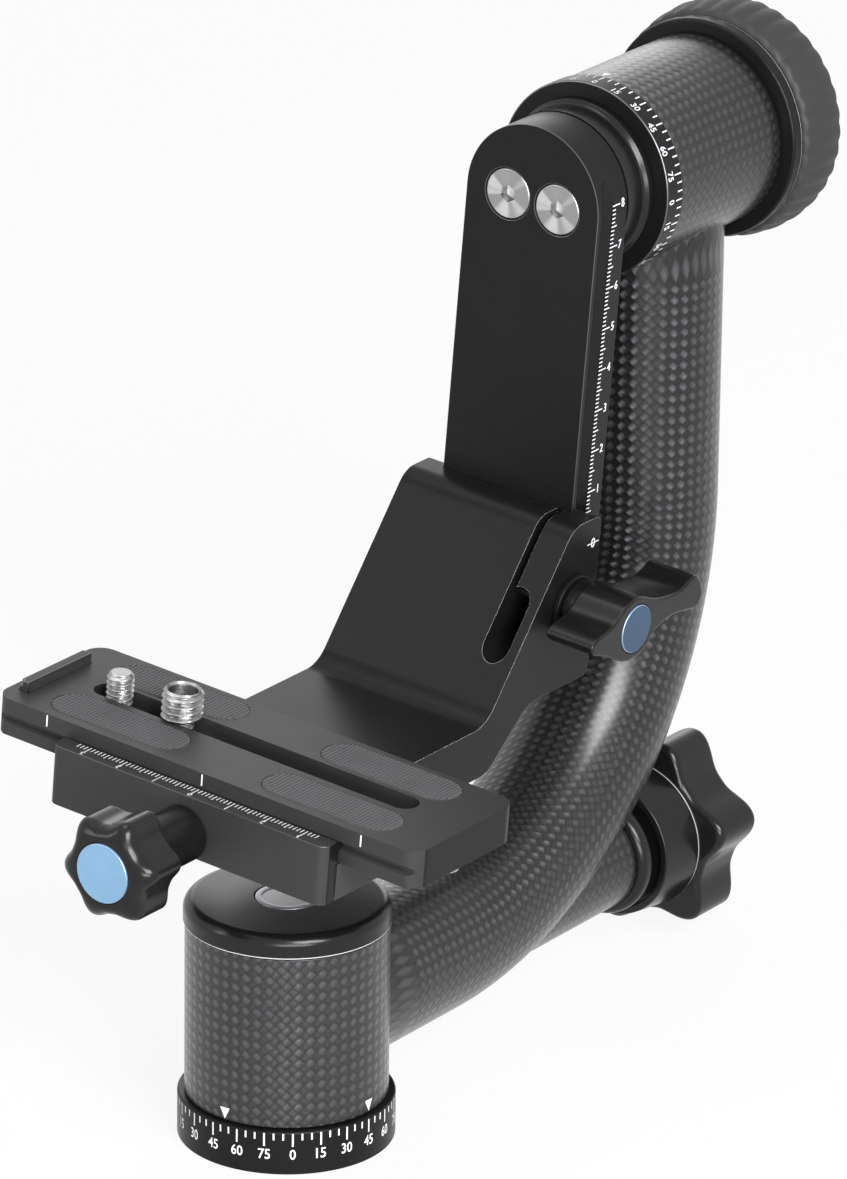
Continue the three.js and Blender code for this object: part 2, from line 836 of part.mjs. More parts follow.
function makeTiltRing() {
  const { radius, edge } = tiltRing;
  const bore = axle.ringSeatRadius + fitGap;
  return turnedX([
    [bore, tiltRingFront],
    [radius - edge, tiltRingFront],
    [radius, tiltRingFront + edge],
    [radius, tiltRingBack],
    [bore, tiltRingBack],
    [bore, tiltRingFront],
  ], sides.large, tiltHeight);
}

// Tilt lock knob

const tiltKnobFlangeBack = tiltKnobFront + tiltKnob.flangeWidth;
const tiltKnobBack = tiltKnobFront + tiltKnob.length;

function makeTiltKnobCore() {
  const { flangeRadius, coreRadius, screwDepth, edge } = tiltKnob;
  const front = tiltKnobFront;
  const bore = axle.radius + fitGap;
  const capSeat = tiltKnobCap.radius + fitGap;
  return turnedX([
    [0, front + screwDepth],
    [bore, front + screwDepth],
    [bore, front],
    [flangeRadius - edge, front],
    [flangeRadius, front + edge],
    [flangeRadius, tiltKnobFlangeBack],
    [coreRadius, tiltKnobFlangeBack],
    [coreRadius, tiltKnobBack],
    [capSeat, tiltKnobBack],
    [capSeat, tiltKnobBack - tiltKnobCap.recess],
    [0, tiltKnobBack - tiltKnobCap.recess],
  ], sides.medium, tiltHeight);
}

function makeTiltKnobGrip() {
  const front = tiltKnobFlangeBack + fitGap;
  const back = front + grip.length;
  const ribbed = (x, radius) => ({ x, tip: radius, valley: radius - grip.ribDepth });
  const plain = (x, radius) => ({ x, tip: radius, valley: radius });
  const body = lobedX([
    plain(front, grip.frontRadius - grip.ribDepth),
    ribbed(front + grip.round, grip.frontRadius + grip.ribDepth / 2),
    ribbed(front + grip.length * grip.middleShare, grip.middleRadius),
    ribbed(back - grip.round, grip.backRadius + grip.ribDepth / 2),
    plain(back, grip.backRadius - grip.round),
  ], grip.ribs, 0, ribSteps, ribSharpness, tiltHeight);
  const bore = rodX(
    tiltKnob.coreRadius + fitGap, front - overrun, back + overrun, 0, tiltHeight, sides.medium,
  );
  return cut(body, bore);
}

function makeTiltKnobCap() {
  const seat = tiltKnobBack - tiltKnobCap.recess;
  return rodX(tiltKnobCap.radius, seat, seat + tiltKnobCap.height, 0, tiltHeight, sides.small);
}

// Slide plate

const grooveStartX = plateFront + plateGroove.start;
const grooveFlatX = grooveStartX + plateGroove.run;
const grooveFloorY = plate.halfWidth - plateGroove.depth;

function makeSlidePlate() {
  const shape = new THREE.Shape();
  shape.moveTo(plate.halfWidth, plateBottom);
  shape.lineTo(plate.halfWidth, tiltHeight);
  shape.absarc(0, tiltHeight, plate.halfWidth, 0, Math.PI);
  shape.lineTo(-plate.halfWidth, plateBottom);
  const body = prismX(shape, plateFront, plateBack, sides.tiny);
  const mouth = plate.halfWidth + overrun;
  const spread = (plateGroove.run * overrun) / plateGroove.depth;
  const grooves = mirrored((side) => {
    const points = [
      [grooveStartX - spread, side * mouth],
      [grooveFlatX, side * grooveFloorY],
      [grooveFlatX + plateGroove.flat, side * grooveFloorY],
      [grooveFlatX + plateGroove.flat + plateGroove.run + spread, side * mouth],
    ];
    return prismZ(outline(points), plateBottom - overrun, tiltHeight + plate.halfWidth);
  });
  const holes = mirrored(plateScrewHole);
  return cut(body, ...grooves, ...holes);
}

// The countersunk hole for a plate screw
function plateScrewHole(side) {
  const head = plateScrew.headRadius + fitGap;
  const shank = plateScrew.radius + fitGap;
  const rimBack = plateFront + plateScrew.sink + plateScrew.rim;
  const hole = turnedX([
    [0, plateFront - overrun],
    [head, plateFront - overrun],
    [head, rimBack],
    [shank, plateFront + plateScrew.sink + plateScrew.headDepth],
    [shank, plateBack + overrun],
    [0, plateBack + overrun],
  ], sides.small, tiltHeight);
  return hole.translate(0, side * plateScrew.offset, 0);
}

function makePlateScrew(side) {
  const face = plateFront + plateScrew.sink;
  const body = turnedX([
    [0, face],
    [plateScrew.headRadius, face],
    [plateScrew.headRadius, face + plateScrew.rim],
    [plateScrew.radius, face + plateScrew.headDepth],
    [plateScrew.radius, face + plateScrew.length],
    [0, face + plateScrew.length],
  ], sides.small, tiltHeight).translate(0, side * plateScrew.offset, 0);
  const socket = rodX(
    plateScrew.socketRadius, face - overrun, face + plateScrew.socketDepth,
    side * plateScrew.offset, tiltHeight, sides.hexagon,
  );
  return cut(body, socket);
}

// L bracket

const footFront = clampBack + fitGap;

function bracketProfile() {
  const round = bracketRound;
  const top = bracketTop;
  const slantTop = plateFront - bracket.lug;
  const slantFoot = slantTop - bracket.slantRun;
  const underBack = plateFront - bracket.underBackRun;
  const underFront = plateFront - bracket.underFrontRun;
  const slant = new THREE.Vector2(slantTop - slantFoot, top - footTop).normalize();
  const lower = new THREE.Vector2(underBack - underFront, bracketUnder - clampBottom).normalize();
  const tongueEnd = footFront - bracket.tongueLength;
  const tongueTop = clampBottom + bracket.tongueHeight;
  const shape = new THREE.Shape();
  shape.moveTo(footFront, footTop);
  shape.lineTo(slantFoot - round.foot, footTop);
  shape.quadraticCurveTo(
    slantFoot, footTop, slantFoot + slant.x * round.foot, footTop + slant.y * round.foot,
  );
  shape.lineTo(slantTop - slant.x * round.top, top - slant.y * round.top);
  shape.quadraticCurveTo(slantTop, top, slantTop + round.lip, top);
  shape.lineTo(bracketBack - round.corner, top);
  shape.quadraticCurveTo(bracketBack, top, bracketBack, top - round.corner);
  shape.lineTo(bracketBack, bracketUnder + round.corner);
  shape.quadraticCurveTo(bracketBack, bracketUnder, bracketBack - round.corner, bracketUnder);
  shape.lineTo(underBack + round.underBack, bracketUnder);
  shape.quadraticCurveTo(
    underBack, bracketUnder, underBack - lower.x * round.underBack, bracketUnder - lower.y * round.underBack,
  );
  shape.lineTo(underFront + lower.x * round.underFront, clampBottom + lower.y * round.underFront);
  shape.quadraticCurveTo(underFront, clampBottom, underFront - round.underFront, clampBottom);
  shape.lineTo(tongueEnd, clampBottom);
  shape.lineTo(tongueEnd, tongueTop);
  shape.lineTo(footFront, tongueTop);
  return shape;
}

// The undercut channel that the slide plate runs in
function channelShape() {
  const flank = Math.hypot(plateGroove.run, plateGroove.depth) / plateGroove.depth;
  const shift = fitGap * flank;
  const wallY = plate.halfWidth + fitGap;
  const lipY = grooveFloorY + fitGap;
  const slope = plateGroove.run / plateGroove.depth;
  const flankX = (y) => grooveStartX + shift + (plate.halfWidth - y) * slope;
  const front = plateFront - fitGap;
  const back = bracketBack + overrun;
  const half = [
    [front, wallY],
    [flankX(wallY), wallY],
    [flankX(lipY), lipY],
    [back, lipY],
  ];
  const otherHalf = half.map(([x, y]) => [x, -y]).reverse();
  return outline([...half, ...otherHalf]);
}

function makeBracket() {
  const body = prismY(bracketProfile(), -bracket.halfWidth, bracket.halfWidth);
  const slideChannel = prismZ(channelShape(), bracketUnder - overrun, bracketTop + overrun);
  const cutFront = plateFront - bracket.lug - bracket.slantRun;
  const reliefY = -earSlit.outer + earSlit.width - relief.width / 2;
  const reliefHalf = relief.height / 2;
  const reliefShape = roundedRectangle(
    reliefY, reliefBottom + reliefHalf, relief.width / 2, reliefHalf, relief.width / 2,
  );
  const reliefSlot = prismX(reliefShape, cutFront, plateFront, cornerSteps * 2);
  const slit = block(
    cutFront, plateFront,
    -earSlit.outer, -earSlit.outer + earSlit.width,
    reliefTop - reliefHalf, bracketTop + overrun,
  );
  const lockHole = rodY(
    bracketLock.screwRadius + fitGap, -bracket.halfWidth - overrun, lockScrewInner + fitGap,
    lockX, lockZ, sides.tiny,
  );
  const mountHoles = mirrored((side) => join(
    rodZ(
      mountScrew.radius + fitGap, clampBottom - overrun, footTop,
      mountScrewX, side * mountScrew.offset, sides.tiny,
    ),
    rodZ(
      mountScrew.headRadius + fitGap, clampBottom - overrun, mountHeadTop + fitGap,
      mountScrewX, side * mountScrew.offset, sides.tiny,
    ),
  ));
  return cut(body, slideChannel, reliefSlot, slit, lockHole, ...mountHoles);
}

// Bracket lock, along -Y from the bracket's side

const washerInner = -bracket.halfWidth - fitGap;
const washerOuter = washerInner - lockWasher.thickness;
const neckInner = washerOuter - fitGap;
const wingInner = neckInner - wingKnob.neckLength;
const wingOuter = wingInner - wingKnob.thickness;
const lockScrewInner = -bracket.halfWidth + bracketLock.screwDepth;
const lockScrewOuter = wingInner - wingKnob.thickness / 2;

function makeLockWasher() {
  const ring = rodY(lockWasher.radius, washerOuter, washerInner, lockX, lockZ, sides.small);
  const bore = rodY(
    bracketLock.screwRadius + fitGap, washerOuter - overrun, washerInner + overrun,
    lockX, lockZ, sides.tiny,
  );
  return cut(ring, bore);
}

function makeLockScrew() {
  return rodY(
    bracketLock.screwRadius, lockScrewOuter, lockScrewInner, lockX, lockZ, sides.tiny,
  );
}

// Outline of the wing knob: a round boss with one long and one short wing, inset for its bevel
function wingShape() {
  const k = wingKnob;
  const inset = k.bevel;
  const longTip = k.longTipRadius - inset;
  const shortTip = k.shortTipRadius - inset;
  const boss = k.bossRadius - inset;
  const longX = k.longReach - k.longTipRadius;
  const shortX = -k.shortReach + k.shortTipRadius;
  const longWaistX = (boss + longX) / 2;
  const shortWaistX = (shortX - boss) / 2;
  const longWaist = k.longWaist - inset;
  const shortWaist = k.shortWaist - inset;
  const points = [
    new THREE.Vector2(0, boss),
    new THREE.Vector2(longWaistX, k.longTipRise / 2 + longWaist),
    new THREE.Vector2(longX, k.longTipRise + longTip),
    new THREE.Vector2(longX + longTip * Math.SQRT1_2, k.longTipRise + longTip * Math.SQRT1_2),
    new THREE.Vector2(longX + longTip, k.longTipRise),
    new THREE.Vector2(longX + longTip * Math.SQRT1_2, k.longTipRise - longTip * Math.SQRT1_2),
    new THREE.Vector2(longX, k.longTipRise - longTip),
    new THREE.Vector2(longWaistX, k.longTipRise / 2 - longWaist),
    new THREE.Vector2(boss * Math.SQRT1_2, -boss * Math.SQRT1_2),
    new THREE.Vector2(0, -boss),
    new THREE.Vector2(shortWaistX, -shortWaist - k.shortTipDrop),
    new THREE.Vector2(shortX, -shortTip),
    new THREE.Vector2(shortX - shortTip, 0),
    new THREE.Vector2(shortX, shortTip),
    new THREE.Vector2(shortWaistX, shortWaist),
    new THREE.Vector2(-boss * Math.SQRT1_2, boss * Math.SQRT1_2),
  ];
  const curve = new THREE.SplineCurve([...points, points[0]]);
  return new THREE.Shape(curve.getPoints(points.length * 2).slice(0, -1));
}

function makeWingKnob() {
  const geometry = new THREE.ExtrudeGeometry(wingShape(), {
    depth: wingKnob.thickness - 2 * wingKnob.bevel,
    bevelEnabled: true,
    bevelSize: wingKnob.bevel,
    bevelThickness: wingKnob.bevel,
    bevelSegments: 1,
  });
  geometry.applyMatrix4(drawnInXZ);
  geometry.translate(lockX, wingInner - wingKnob.bevel, lockZ);
  const neck = rodY(
    wingKnob.neckRadius, wingInner - wingKnob.bevel, neckInner, lockX, lockZ, sides.small,
  );
  const bore = rodY(
    bracketLock.screwRadius + fitGap, lockScrewOuter - fitGap, neckInner + overrun,
    lockX, lockZ, sides.tiny,
  );
  const seat = rodY(
    wingKnobCap.radius + fitGap, wingOuter - overrun, wingOuter + wingKnobCap.recess,
    lockX, lockZ, sides.small,
  );
  return cut(join(solid(geometry), neck), bore, seat);
}

function makeWingKnobCap() {
  const inner = wingOuter + wingKnobCap.recess - fitGap;
  return rodY(
    wingKnobCap.radius, inner - wingKnobCap.height, inner, lockX, lockZ, sides.small,
  );
}

// Quick release clamp

const jawInner = clampFront - clamp.jawGap;
const mountScrewX = clampBack - mountScrew.inset;
const mountHeadBottom = clampBottom + mountScrew.sink;
const mountHeadTop = mountHeadBottom + mountScrew.headHeight;
const mountScrewTop = mountHeadBottom + mountScrew.length;
const jawPinFront = jawInner - jawPin.jawDepth;
const jawPinBack = clampFront + jawPin.bodyDepth;

// Edge of a jaw that hooks into the lens plate's groove, as [half width, height] pairs from the
// top down; the half width is measured from the plate's centre line
function hookPoints(top) {
  const { halfWidth, lowerHalfWidth, grooveDepth } = lens;
  const floor = halfWidth - grooveDepth;
  const upperRun = grooveTop - grooveFlatTop;
  const lowerRun = grooveFlatBottom - grooveBottom;
  const lowerDepth = lowerHalfWidth - floor;
  const upperShift = (fitGap * Math.hypot(upperRun, grooveDepth)) / grooveDepth;
  const lowerShift = (fitGap * Math.hypot(lowerRun, lowerDepth)) / lowerDepth;
  const upperZ = (w) => grooveFlatTop + ((w - floor) * upperRun) / grooveDepth - upperShift;
  const lowerZ = (w) => grooveFlatBottom - ((w - floor) * lowerRun) / lowerDepth + lowerShift;
  const outer = halfWidth + fitGap;
  const tip = floor + fitGap;
  const lower = lowerHalfWidth + fitGap;
  return [
    [outer, top],
    [outer, upperZ(outer)],
    [tip, upperZ(tip)],
    [tip, lowerZ(tip)],
    [lower, lowerZ(lower)],
  ];
}

function makeClampBody() {
  const hook = hookPoints(jawTop).map(([w, z]) => [clamp.centre + w, z]);
  const wallX = hook[hook.length - 1][0];
  const profile = outline([
    [clampFront, clampBottom],
    [clampBack, clampBottom],
    [clampBack, jawTop],
    ...hook,
    [wallX, clampTop],
    [clampFront, clampTop],
  ]);
  const body = prismY(profile, -clamp.halfLength, clamp.halfLength);
  const tongue = block(
    footFront - bracket.tongueLength - fitGap, clampBack + overrun,
    -bracket.halfWidth - fitGap, bracket.halfWidth + fitGap,
    clampBottom - overrun, clampBottom + bracket.tongueHeight + fitGap,
  );
  const channels = mirrored((side) => {
    const near = side * channel.blockHalfLength;
    const far = side * (clamp.halfLength + overrun);
    return block(
      clamp.centre - channel.halfWidth, clamp.centre + channel.halfWidth,
      Math.min(near, far), Math.max(near, far),
      clampTop - channel.depth, clampTop + overrun,
    );
  });
  const screwBore = rodX(
    clampScrew.radius + fitGap, clampFront - overrun, clampFront + clampScrew.depth + fitGap,
    0, clampScrewZ, sides.tiny,
  );
  const pinBores = mirrored((side) => rodX(
    jawPin.radius + fitGap, clampFront - overrun, jawPinBack + fitGap,
    side * jawPin.offset, jawPinZ, sides.tiny,
  ));
  const mountBores = mirrored((side) => rodZ(
    mountScrew.radius + fitGap, clampBottom, mountScrewTop + fitGap,
    mountScrewX, side * mountScrew.offset, sides.tiny,
  ));
  return cut(body, tongue, ...channels, screwBore, ...pinBores, ...mountBores);
}

function makeClampJaw() {
  const hook = hookPoints(jawTop).map(([w, z]) => [clamp.centre - w, z]);
  const wallX = hook[hook.length - 1][0];
  const profile = outline([
    [jawFront, jawTop],
    ...hook,
    [wallX, lensBottom],
    [jawInner, lensBottom],
    [jawInner, clampBottom],
    [jawFront, clampBottom],
  ]);
  const body = prismY(profile, -clamp.halfLength, clamp.halfLength);
  const depth = clamp.jawWall * 2;
  const plan = roundedRectangle(
    jawFront + depth, 0, depth, clamp.halfLength, clamp.cornerRadius,
  );
  const rounded = body.intersect(prismZ(plan, clampBottom - overrun, jawTop + overrun));
  const screwBore = rodX(
    clampScrew.radius + fitGap, jawFront - overrun, jawInner + overrun, 0, clampScrewZ, sides.tiny,
  );
  const pinBores = mirrored((side) => rodX(
    jawPin.radius + fitGap, jawPinFront - fitGap, jawInner + overrun,
    side * jawPin.offset, jawPinZ, sides.tiny,
  ));
  return cut(rounded, screwBore, ...pinBores);
}

function makeJawPin(side) {
  return rodX(jawPin.radius, jawPinFront, jawPinBack, side * jawPin.offset, jawPinZ, sides.tiny);
}

function makeMountScrew(side) {
  const y = side * mountScrew.offset;
  const head = rodZ(mountScrew.headRadius, mountHeadBottom, mountHeadTop, mountScrewX, y, sides.tiny);
  const shank = rodZ(mountScrew.radius, mountHeadBottom, mountScrewTop, mountScrewX, y, sides.tiny);
  const socket = rodZ(
    mountScrew.radius / 2, mountHeadBottom - overrun, mountHeadBottom + overrun,
    mountScrewX, y, sides.hexagon,
  );
  return cut(join(head, shank), socket);
}

// Clamp knob, along -X from the jaw

const knobNeckBack = jawFront - fitGap;
const knobLobesBack = knobNeckBack - clampKnob.neckLength;
const knobLobesFront = knobLobesBack - clampKnob.length;
const knobFace = knobLobesFront - clampKnob.noseLength;

function makeClampKnob() {
  const { tipRadius, valleyRadius, noseRadius, edge, neckRadius } = clampKnob;
  const rim = (x, inset) => ({ x, tip: tipRadius - inset, valley: valleyRadius - inset });
  const middle = (noseRadius + tipRadius) / 2;
  const lobes = lobedX([
    { x: knobFace, tip: noseRadius, valley: noseRadius },
    {
      x: knobLobesFront - clampKnob.noseLength / 2,
      tip: middle + edge,
      valley: (noseRadius + valleyRadius) / 2,
    },
    rim(knobLobesFront, 0),
    rim(knobLobesBack - edge, 0),
    rim(knobLobesBack, edge),
  ], clampKnob.lobes, clampKnob.phase, lobeSteps, lobeSharpness, clampScrewZ);
  const neck = rodX(neckRadius, knobLobesBack - edge, knobNeckBack, 0, clampScrewZ, sides.small);
  const bore = rodX(
    clampScrew.radius + fitGap, knobLobesBack - clampKnob.length / 2 - fitGap, knobNeckBack + overrun,
    0, clampScrewZ, sides.tiny,
  );
  const seat = rodX(
    clampKnobCap.radius + fitGap, knobFace - overrun, knobFace + clampKnobCap.recess,
    0, clampScrewZ, sides.small,
  );
  return cut(join(lobes, neck), bore, seat);
}

function makeClampScrew() {
  return rodX(
    clampScrew.radius, knobLobesBack - clampKnob.length / 2, clampFront + clampScrew.depth,
    0, clampScrewZ, sides.tiny,
  );
}

function makeClampKnobCap() {
  const inner = knobFace + clampKnobCap.recess - fitGap;
  return rodX(clampKnobCap.radius, inner - clampKnobCap.height, inner, 0, clampScrewZ, sides.small);
}

// Lens plate

const padFloor = lens.top + pad.proud - pad.thickness;
const padPlaces = [
  ['front_left', padFrontX, padY],
  ['front_right', padFrontX, -padY],
  ['back_left', padBackX, padY],
  ['back_right', padBackX, -padY],
];

function stadium(x, y, halfWidth, halfLength) {
  return roundedRectangle(x, y, halfWidth, halfLength, halfWidth);
}

function makeLensPlate() {
  const { halfWidth, lowerHalfWidth, halfLength, top, cornerRadius, grooveDepth } = lens;
  const bottom = lensBottom;
  const plan = roundedRectangle(clamp.centre, 0, halfWidth, halfLength, cornerRadius);
  const body = prismZ(plan, bottom, top);
  const floor = halfWidth - grooveDepth;
  const outer = halfWidth + overrun;
  const grooves = mirrored((side) => {
    const points = [
      [outer, grooveTop],
      [halfWidth, grooveTop],
      [floor, grooveFlatTop],
      [floor, grooveFlatBottom],
      [lowerHalfWidth, grooveBottom],
      [lowerHalfWidth, bottom - overrun],
      [outer, bottom - overrun],
    ].map(([w, z]) => [clamp.centre + side * w, z]);
    return prismY(outline(points), -halfLength - overrun, halfLength + overrun);
  });
  const slotMiddle = (slotHigh + slotLow) / 2;
  const slotHalf = (slotHigh - slotLow) / 2;
  const throat = prismZ(
    stadium(slotX, slotMiddle, slot.halfWidth, slotHalf), bottom - overrun, top + overrun,
  );
  const wide = prismZ(
    stadium(slotX, slotMiddle, headSlot.halfWidth, slotHalf + headSlot.extra),
    bottom - overrun, top - headSlot.roof,
  );
  const padSeats = padPlaces.map(([, x, y]) => prismZ(
    stadium(x, y, pad.halfWidth + fitGap, pad.halfLength + fitGap),
    padFloor - fitGap, top + overrun,
  ));
  const barSeat = block(
    stopBarFront - fitGap, stopBarFront + stopBar.length + fitGap,
    stopBarLow - fitGap, stopBarHigh + fitGap,
    top - stopBar.recess, top + overrun,
  );
  const safetyBores = mirrored((side) => rodZ(
    safetyScrew.radius + fitGap, bottom - overrun, bottom + safetyScrew.length + fitGap,
    clamp.centre, side * safetyScrewY, sides.tiny,
  ));
  return cut(body, ...grooves, throat, wide, ...padSeats, barSeat, ...safetyBores);
}

function makePad([, x, y]) {
  return prismZ(stadium(x, y, pad.halfWidth, pad.halfLength), padFloor, lens.top + pad.proud);
}

function makeStopBar() {
  return block(
    stopBarFront, stopBarFront + stopBar.length, stopBarLow, stopBarHigh,
    lens.top - stopBar.recess + fitGap, lens.top + stopBar.proud,
  );
}

function makeSafetyScrew(side) {
  const headTop = lensBottom - fitGap / 2;
  const y = side * safetyScrewY;
  const head = rodZ(
    safetyScrew.headRadius, headTop - safetyScrew.headHeight, headTop,
    clamp.centre, y, sides.tiny,
  );
  const shank = rodZ(
    safetyScrew.radius, headTop - overrun, headTop + safetyScrew.length - fitGap,
    clamp.centre, y, sides.tiny,
  );
  return join(head, shank);
}

// Camera screws

const screwHeadBottom = lensBottom + cameraScrew.headSink;
const screwHeadTop = screwHeadBottom + cameraScrew.headHeight;
const smallScrewY = slotHigh - smallScrew.endGap;
const largeScrewY = slotHigh - largeScrew.endGap;

function makeCameraScrew(screw, y) {
  const top = lens.top + screw.proud;
  const head = rodZ(cameraScrew.headRadius, screwHeadBottom, screwHeadTop, slotX, y, sides.small);
  const shank = rodZ(screw.radius, screwHeadTop - overrun, top, slotX, y, sides.small);
  return join(head, shank);
}

function makeSlotWasher(y) {
  const bottom = screwHeadTop + fitGap;
  const top = bottom + slotWasher.thickness;
  const ring = rodZ(slotWasher.radius, bottom, top, slotX, y, sides.small);
  return cut(ring, rodZ(slotWasher.bore, bottom - overrun, top + overrun, slotX, y, sides.small));
}

function makeAdapterBush() {
  const bottom = lens.top + fitGap;
  const top = lens.top + adapterBush.proud;
  const body = rodZ(adapterBush.radius, bottom, top, slotX, largeScrewY, sides.small);
  return cut(body, rodZ(adapterBush.bore, bottom - overrun, top + overrun, slotX, largeScrewY, sides.small));
}

// Assembly

const head = new THREE.Group();
head.name = 'gimbal_head';

const base = new THREE.Group();
base.add(
  piece('base_scale_ring', makeBaseRing(), finish.black),
  piece('tripod_bush', makeTripodBush(), finish.steel),
  piece('pan_spindle', makeSpindle(), finish.steel),
  piece('pan_nut', makePanNut(), finish.steel),
);

const yoke = new THREE.Group();
yoke.add(
  piece('pan_bearing_lower', makePanBearing(lowerBearingBottom, lowerBearingTop), finish.steel),
  piece('pan_bearing_upper', makePanBearing(upperBearingBottom, upperBearingTop), finish.steel),
  piece('pan_insert', makePanInsert(), finish.alloy),
  piece('pan_sleeve', makePanSleeve(), finish.carbon),
  piece('base_cap', makeBaseCap(), finish.black),
  piece('base_cap_badge', makeBadge(), finish.alloy),
  piece('carbon_arm', makeArm(), finish.carbon),
  piece('stub_tube', makeStub(), finish.carbon),
  piece('stub_ferrule', makeFerrule(), finish.black),
  piece('tilt_housing', makeHousing(), finish.carbon),
  piece('tilt_insert', makeTiltInsert(), finish.alloy),
  piece('tilt_bearing_front', makeTiltBearing(frontBearingFront), finish.steel),
  piece('tilt_bearing_rear', makeTiltBearing(rearBearingFront), finish.steel),
  piece('pan_brake_pad', makeBrakePad(), finish.nylon),
  piece('pan_lock_screw', makePanScrew(), finish.steel),
  piece('pan_lock_knob', makePanKnob(), finish.black),
  piece('pan_lock_cap', makePanKnobCap(), finish.blue),
);

const tiltLock = new THREE.Group();
tiltLock.add(
  piece('tilt_brake_disc', makeBrakeDisc(), finish.nylon),
  piece('tilt_knob_core', makeTiltKnobCore(), finish.black),
  piece('tilt_knob_grip', makeTiltKnobGrip(), finish.rubber),
  piece('tilt_knob_cap', makeTiltKnobCap(), finish.black),
);

// The cradle hangs from the tilt axis and leans about it
const cradle = new THREE.Group();
cradle.position.z = tiltHeight;
cradle.rotation.x = cradleLean;
const hanging = new THREE.Group();
hanging.position.z = -tiltHeight;
cradle.add(hanging);

hanging.add(
  piece('tilt_axle', makeAxle(), finish.steel),
  piece('tilt_scale_ring', makeTiltRing(), finish.black),
  piece('slide_plate', makeSlidePlate(), finish.black),
  piece('plate_screw_left', makePlateScrew(1), finish.steel),
  piece('plate_screw_right', makePlateScrew(-1), finish.steel),
);

const slideBracket = new THREE.Group();
slideBracket.add(
  piece('l_bracket', makeBracket(), finish.black),
  piece('clamp_body', makeClampBody(), finish.black),
  piece('clamp_mount_screw_left', makeMountScrew(1), finish.steel),
  piece('clamp_mount_screw_right', makeMountScrew(-1), finish.steel),
  piece('jaw_pin_left', makeJawPin(1), finish.steel),
  piece('jaw_pin_right', makeJawPin(-1), finish.steel),
  piece('bracket_lock_washer', makeLockWasher(), finish.steel),
  piece('bracket_lock_screw', makeLockScrew(), finish.steel),
  piece('bracket_lock_knob', makeWingKnob(), finish.black),
  piece('bracket_lock_cap', makeWingKnobCap(), finish.blue),
  piece('clamp_jaw', makeClampJaw(), finish.black),
  piece('clamp_screw', makeClampScrew(), finish.steel),
  piece('clamp_knob', makeClampKnob(), finish.black),
  piece('clamp_knob_cap', makeClampKnobCap(), finish.blue),
);
hanging.add(slideBracket);

const lensPlate = new THREE.Group();
lensPlate.add(piece('lens_plate', makeLensPlate(), finish.black));
for (const place of padPlaces) {
  lensPlate.add(piece(`grip_pad_${place[0]}`, makePad(place), finish.rubber));
}
lensPlate.add(
  piece('lens_stop_bar', makeStopBar(), finish.black),
  piece('safety_screw_left', makeSafetyScrew(1), finish.steel),
  piece('safety_screw_right', makeSafetyScrew(-1), finish.steel),
  piece('small_screw_washer', makeSlotWasher(smallScrewY), finish.nylon),
  piece('small_camera_screw', makeCameraScrew(smallScrew, smallScrewY), finish.steel),
  piece('large_screw_washer', makeSlotWasher(largeScrewY), finish.nylon),
  piece('large_camera_screw', makeCameraScrew(largeScrew, largeScrewY), finish.steel),
  piece('adapter_bush', makeAdapterBush(), finish.steel),
);
slideBracket.add(lensPlate);

head.add(base, yoke, tiltLock, cradle);

export default head;
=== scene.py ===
"""Visual model of a gimbal tripod head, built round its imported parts. Sizes are in metres."""

import json
import math

import bmesh
import bpy
from mathutils import Matrix, Vector


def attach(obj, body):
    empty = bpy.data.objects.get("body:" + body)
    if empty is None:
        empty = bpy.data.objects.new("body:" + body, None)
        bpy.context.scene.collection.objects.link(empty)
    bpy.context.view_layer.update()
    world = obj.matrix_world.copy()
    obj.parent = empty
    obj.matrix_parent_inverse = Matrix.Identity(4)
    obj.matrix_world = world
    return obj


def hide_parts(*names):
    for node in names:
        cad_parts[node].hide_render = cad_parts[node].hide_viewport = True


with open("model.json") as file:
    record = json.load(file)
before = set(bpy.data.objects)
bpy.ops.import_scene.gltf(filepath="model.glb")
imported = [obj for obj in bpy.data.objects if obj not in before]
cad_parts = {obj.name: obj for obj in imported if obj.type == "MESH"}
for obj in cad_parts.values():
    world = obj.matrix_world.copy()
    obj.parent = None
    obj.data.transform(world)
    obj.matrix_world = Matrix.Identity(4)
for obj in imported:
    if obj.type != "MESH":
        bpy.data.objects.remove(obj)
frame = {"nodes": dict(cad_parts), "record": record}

bl_info = {
    "name": "Gimbal tripod head",
    "version": (1, 0, 0),
    "blender": (4, 5, 0),
    "location": "3D View > Sidebar > Gimbal",
    "description": "Builds the pieces, finishes and stage of a gimbal tripod head",
    "category": "Object",
}

MM = 0.001
SEGMENTS = 160
ARC_STEPS = 6
PRINT_LIFT = 0.03 * MM
# Signs of a rectangle's corners, in turn
CORNERS = ((1, 1), (-1, 1), (-1, -1), (1, -1))
# Gap round a piece that sits in another
FIT = 0.3 * MM
# How far a cutting tool runs past the surface that it cuts
PAST = 1 * MM
# Painted sheen: where a tube faces this way both sets of tows look alike; to each side one set is
# painted brighter, as if lit from one fixed side
PAINTED_SHEEN_FACING = Vector((-0.797, -0.598, -0.085))
ALONG_X = Vector((1, 0, 0))
ALONG_Z = Vector((0, 0, 1))

# The cradle leans about the tilt axis
TILT_HEIGHT = 195.97 * MM
UPRIGHT = Matrix.Identity(4)
CRADLE = (
    Matrix.Translation((0, 0, TILT_HEIGHT))
    @ Matrix.Rotation(math.radians(4.516), 4, "X")
    @ Matrix.Translation((0, 0, -TILT_HEIGHT))
)


# Properties


def length(name, description, millimetres):
    return bpy.props.FloatProperty(
        name=name, description=description, default=millimetres * MM, subtype="DISTANCE",
        precision=5,
    )


def angle(name, description, degrees):
    return bpy.props.FloatProperty(
        name=name, description=description, default=math.radians(degrees), subtype="ANGLE"
    )


def number(name, description, value):
    return bpy.props.IntProperty(name=name, description=description, default=value, min=1)


def amount(name, description, value):
    return bpy.props.FloatProperty(name=name, description=description, default=value, min=0)


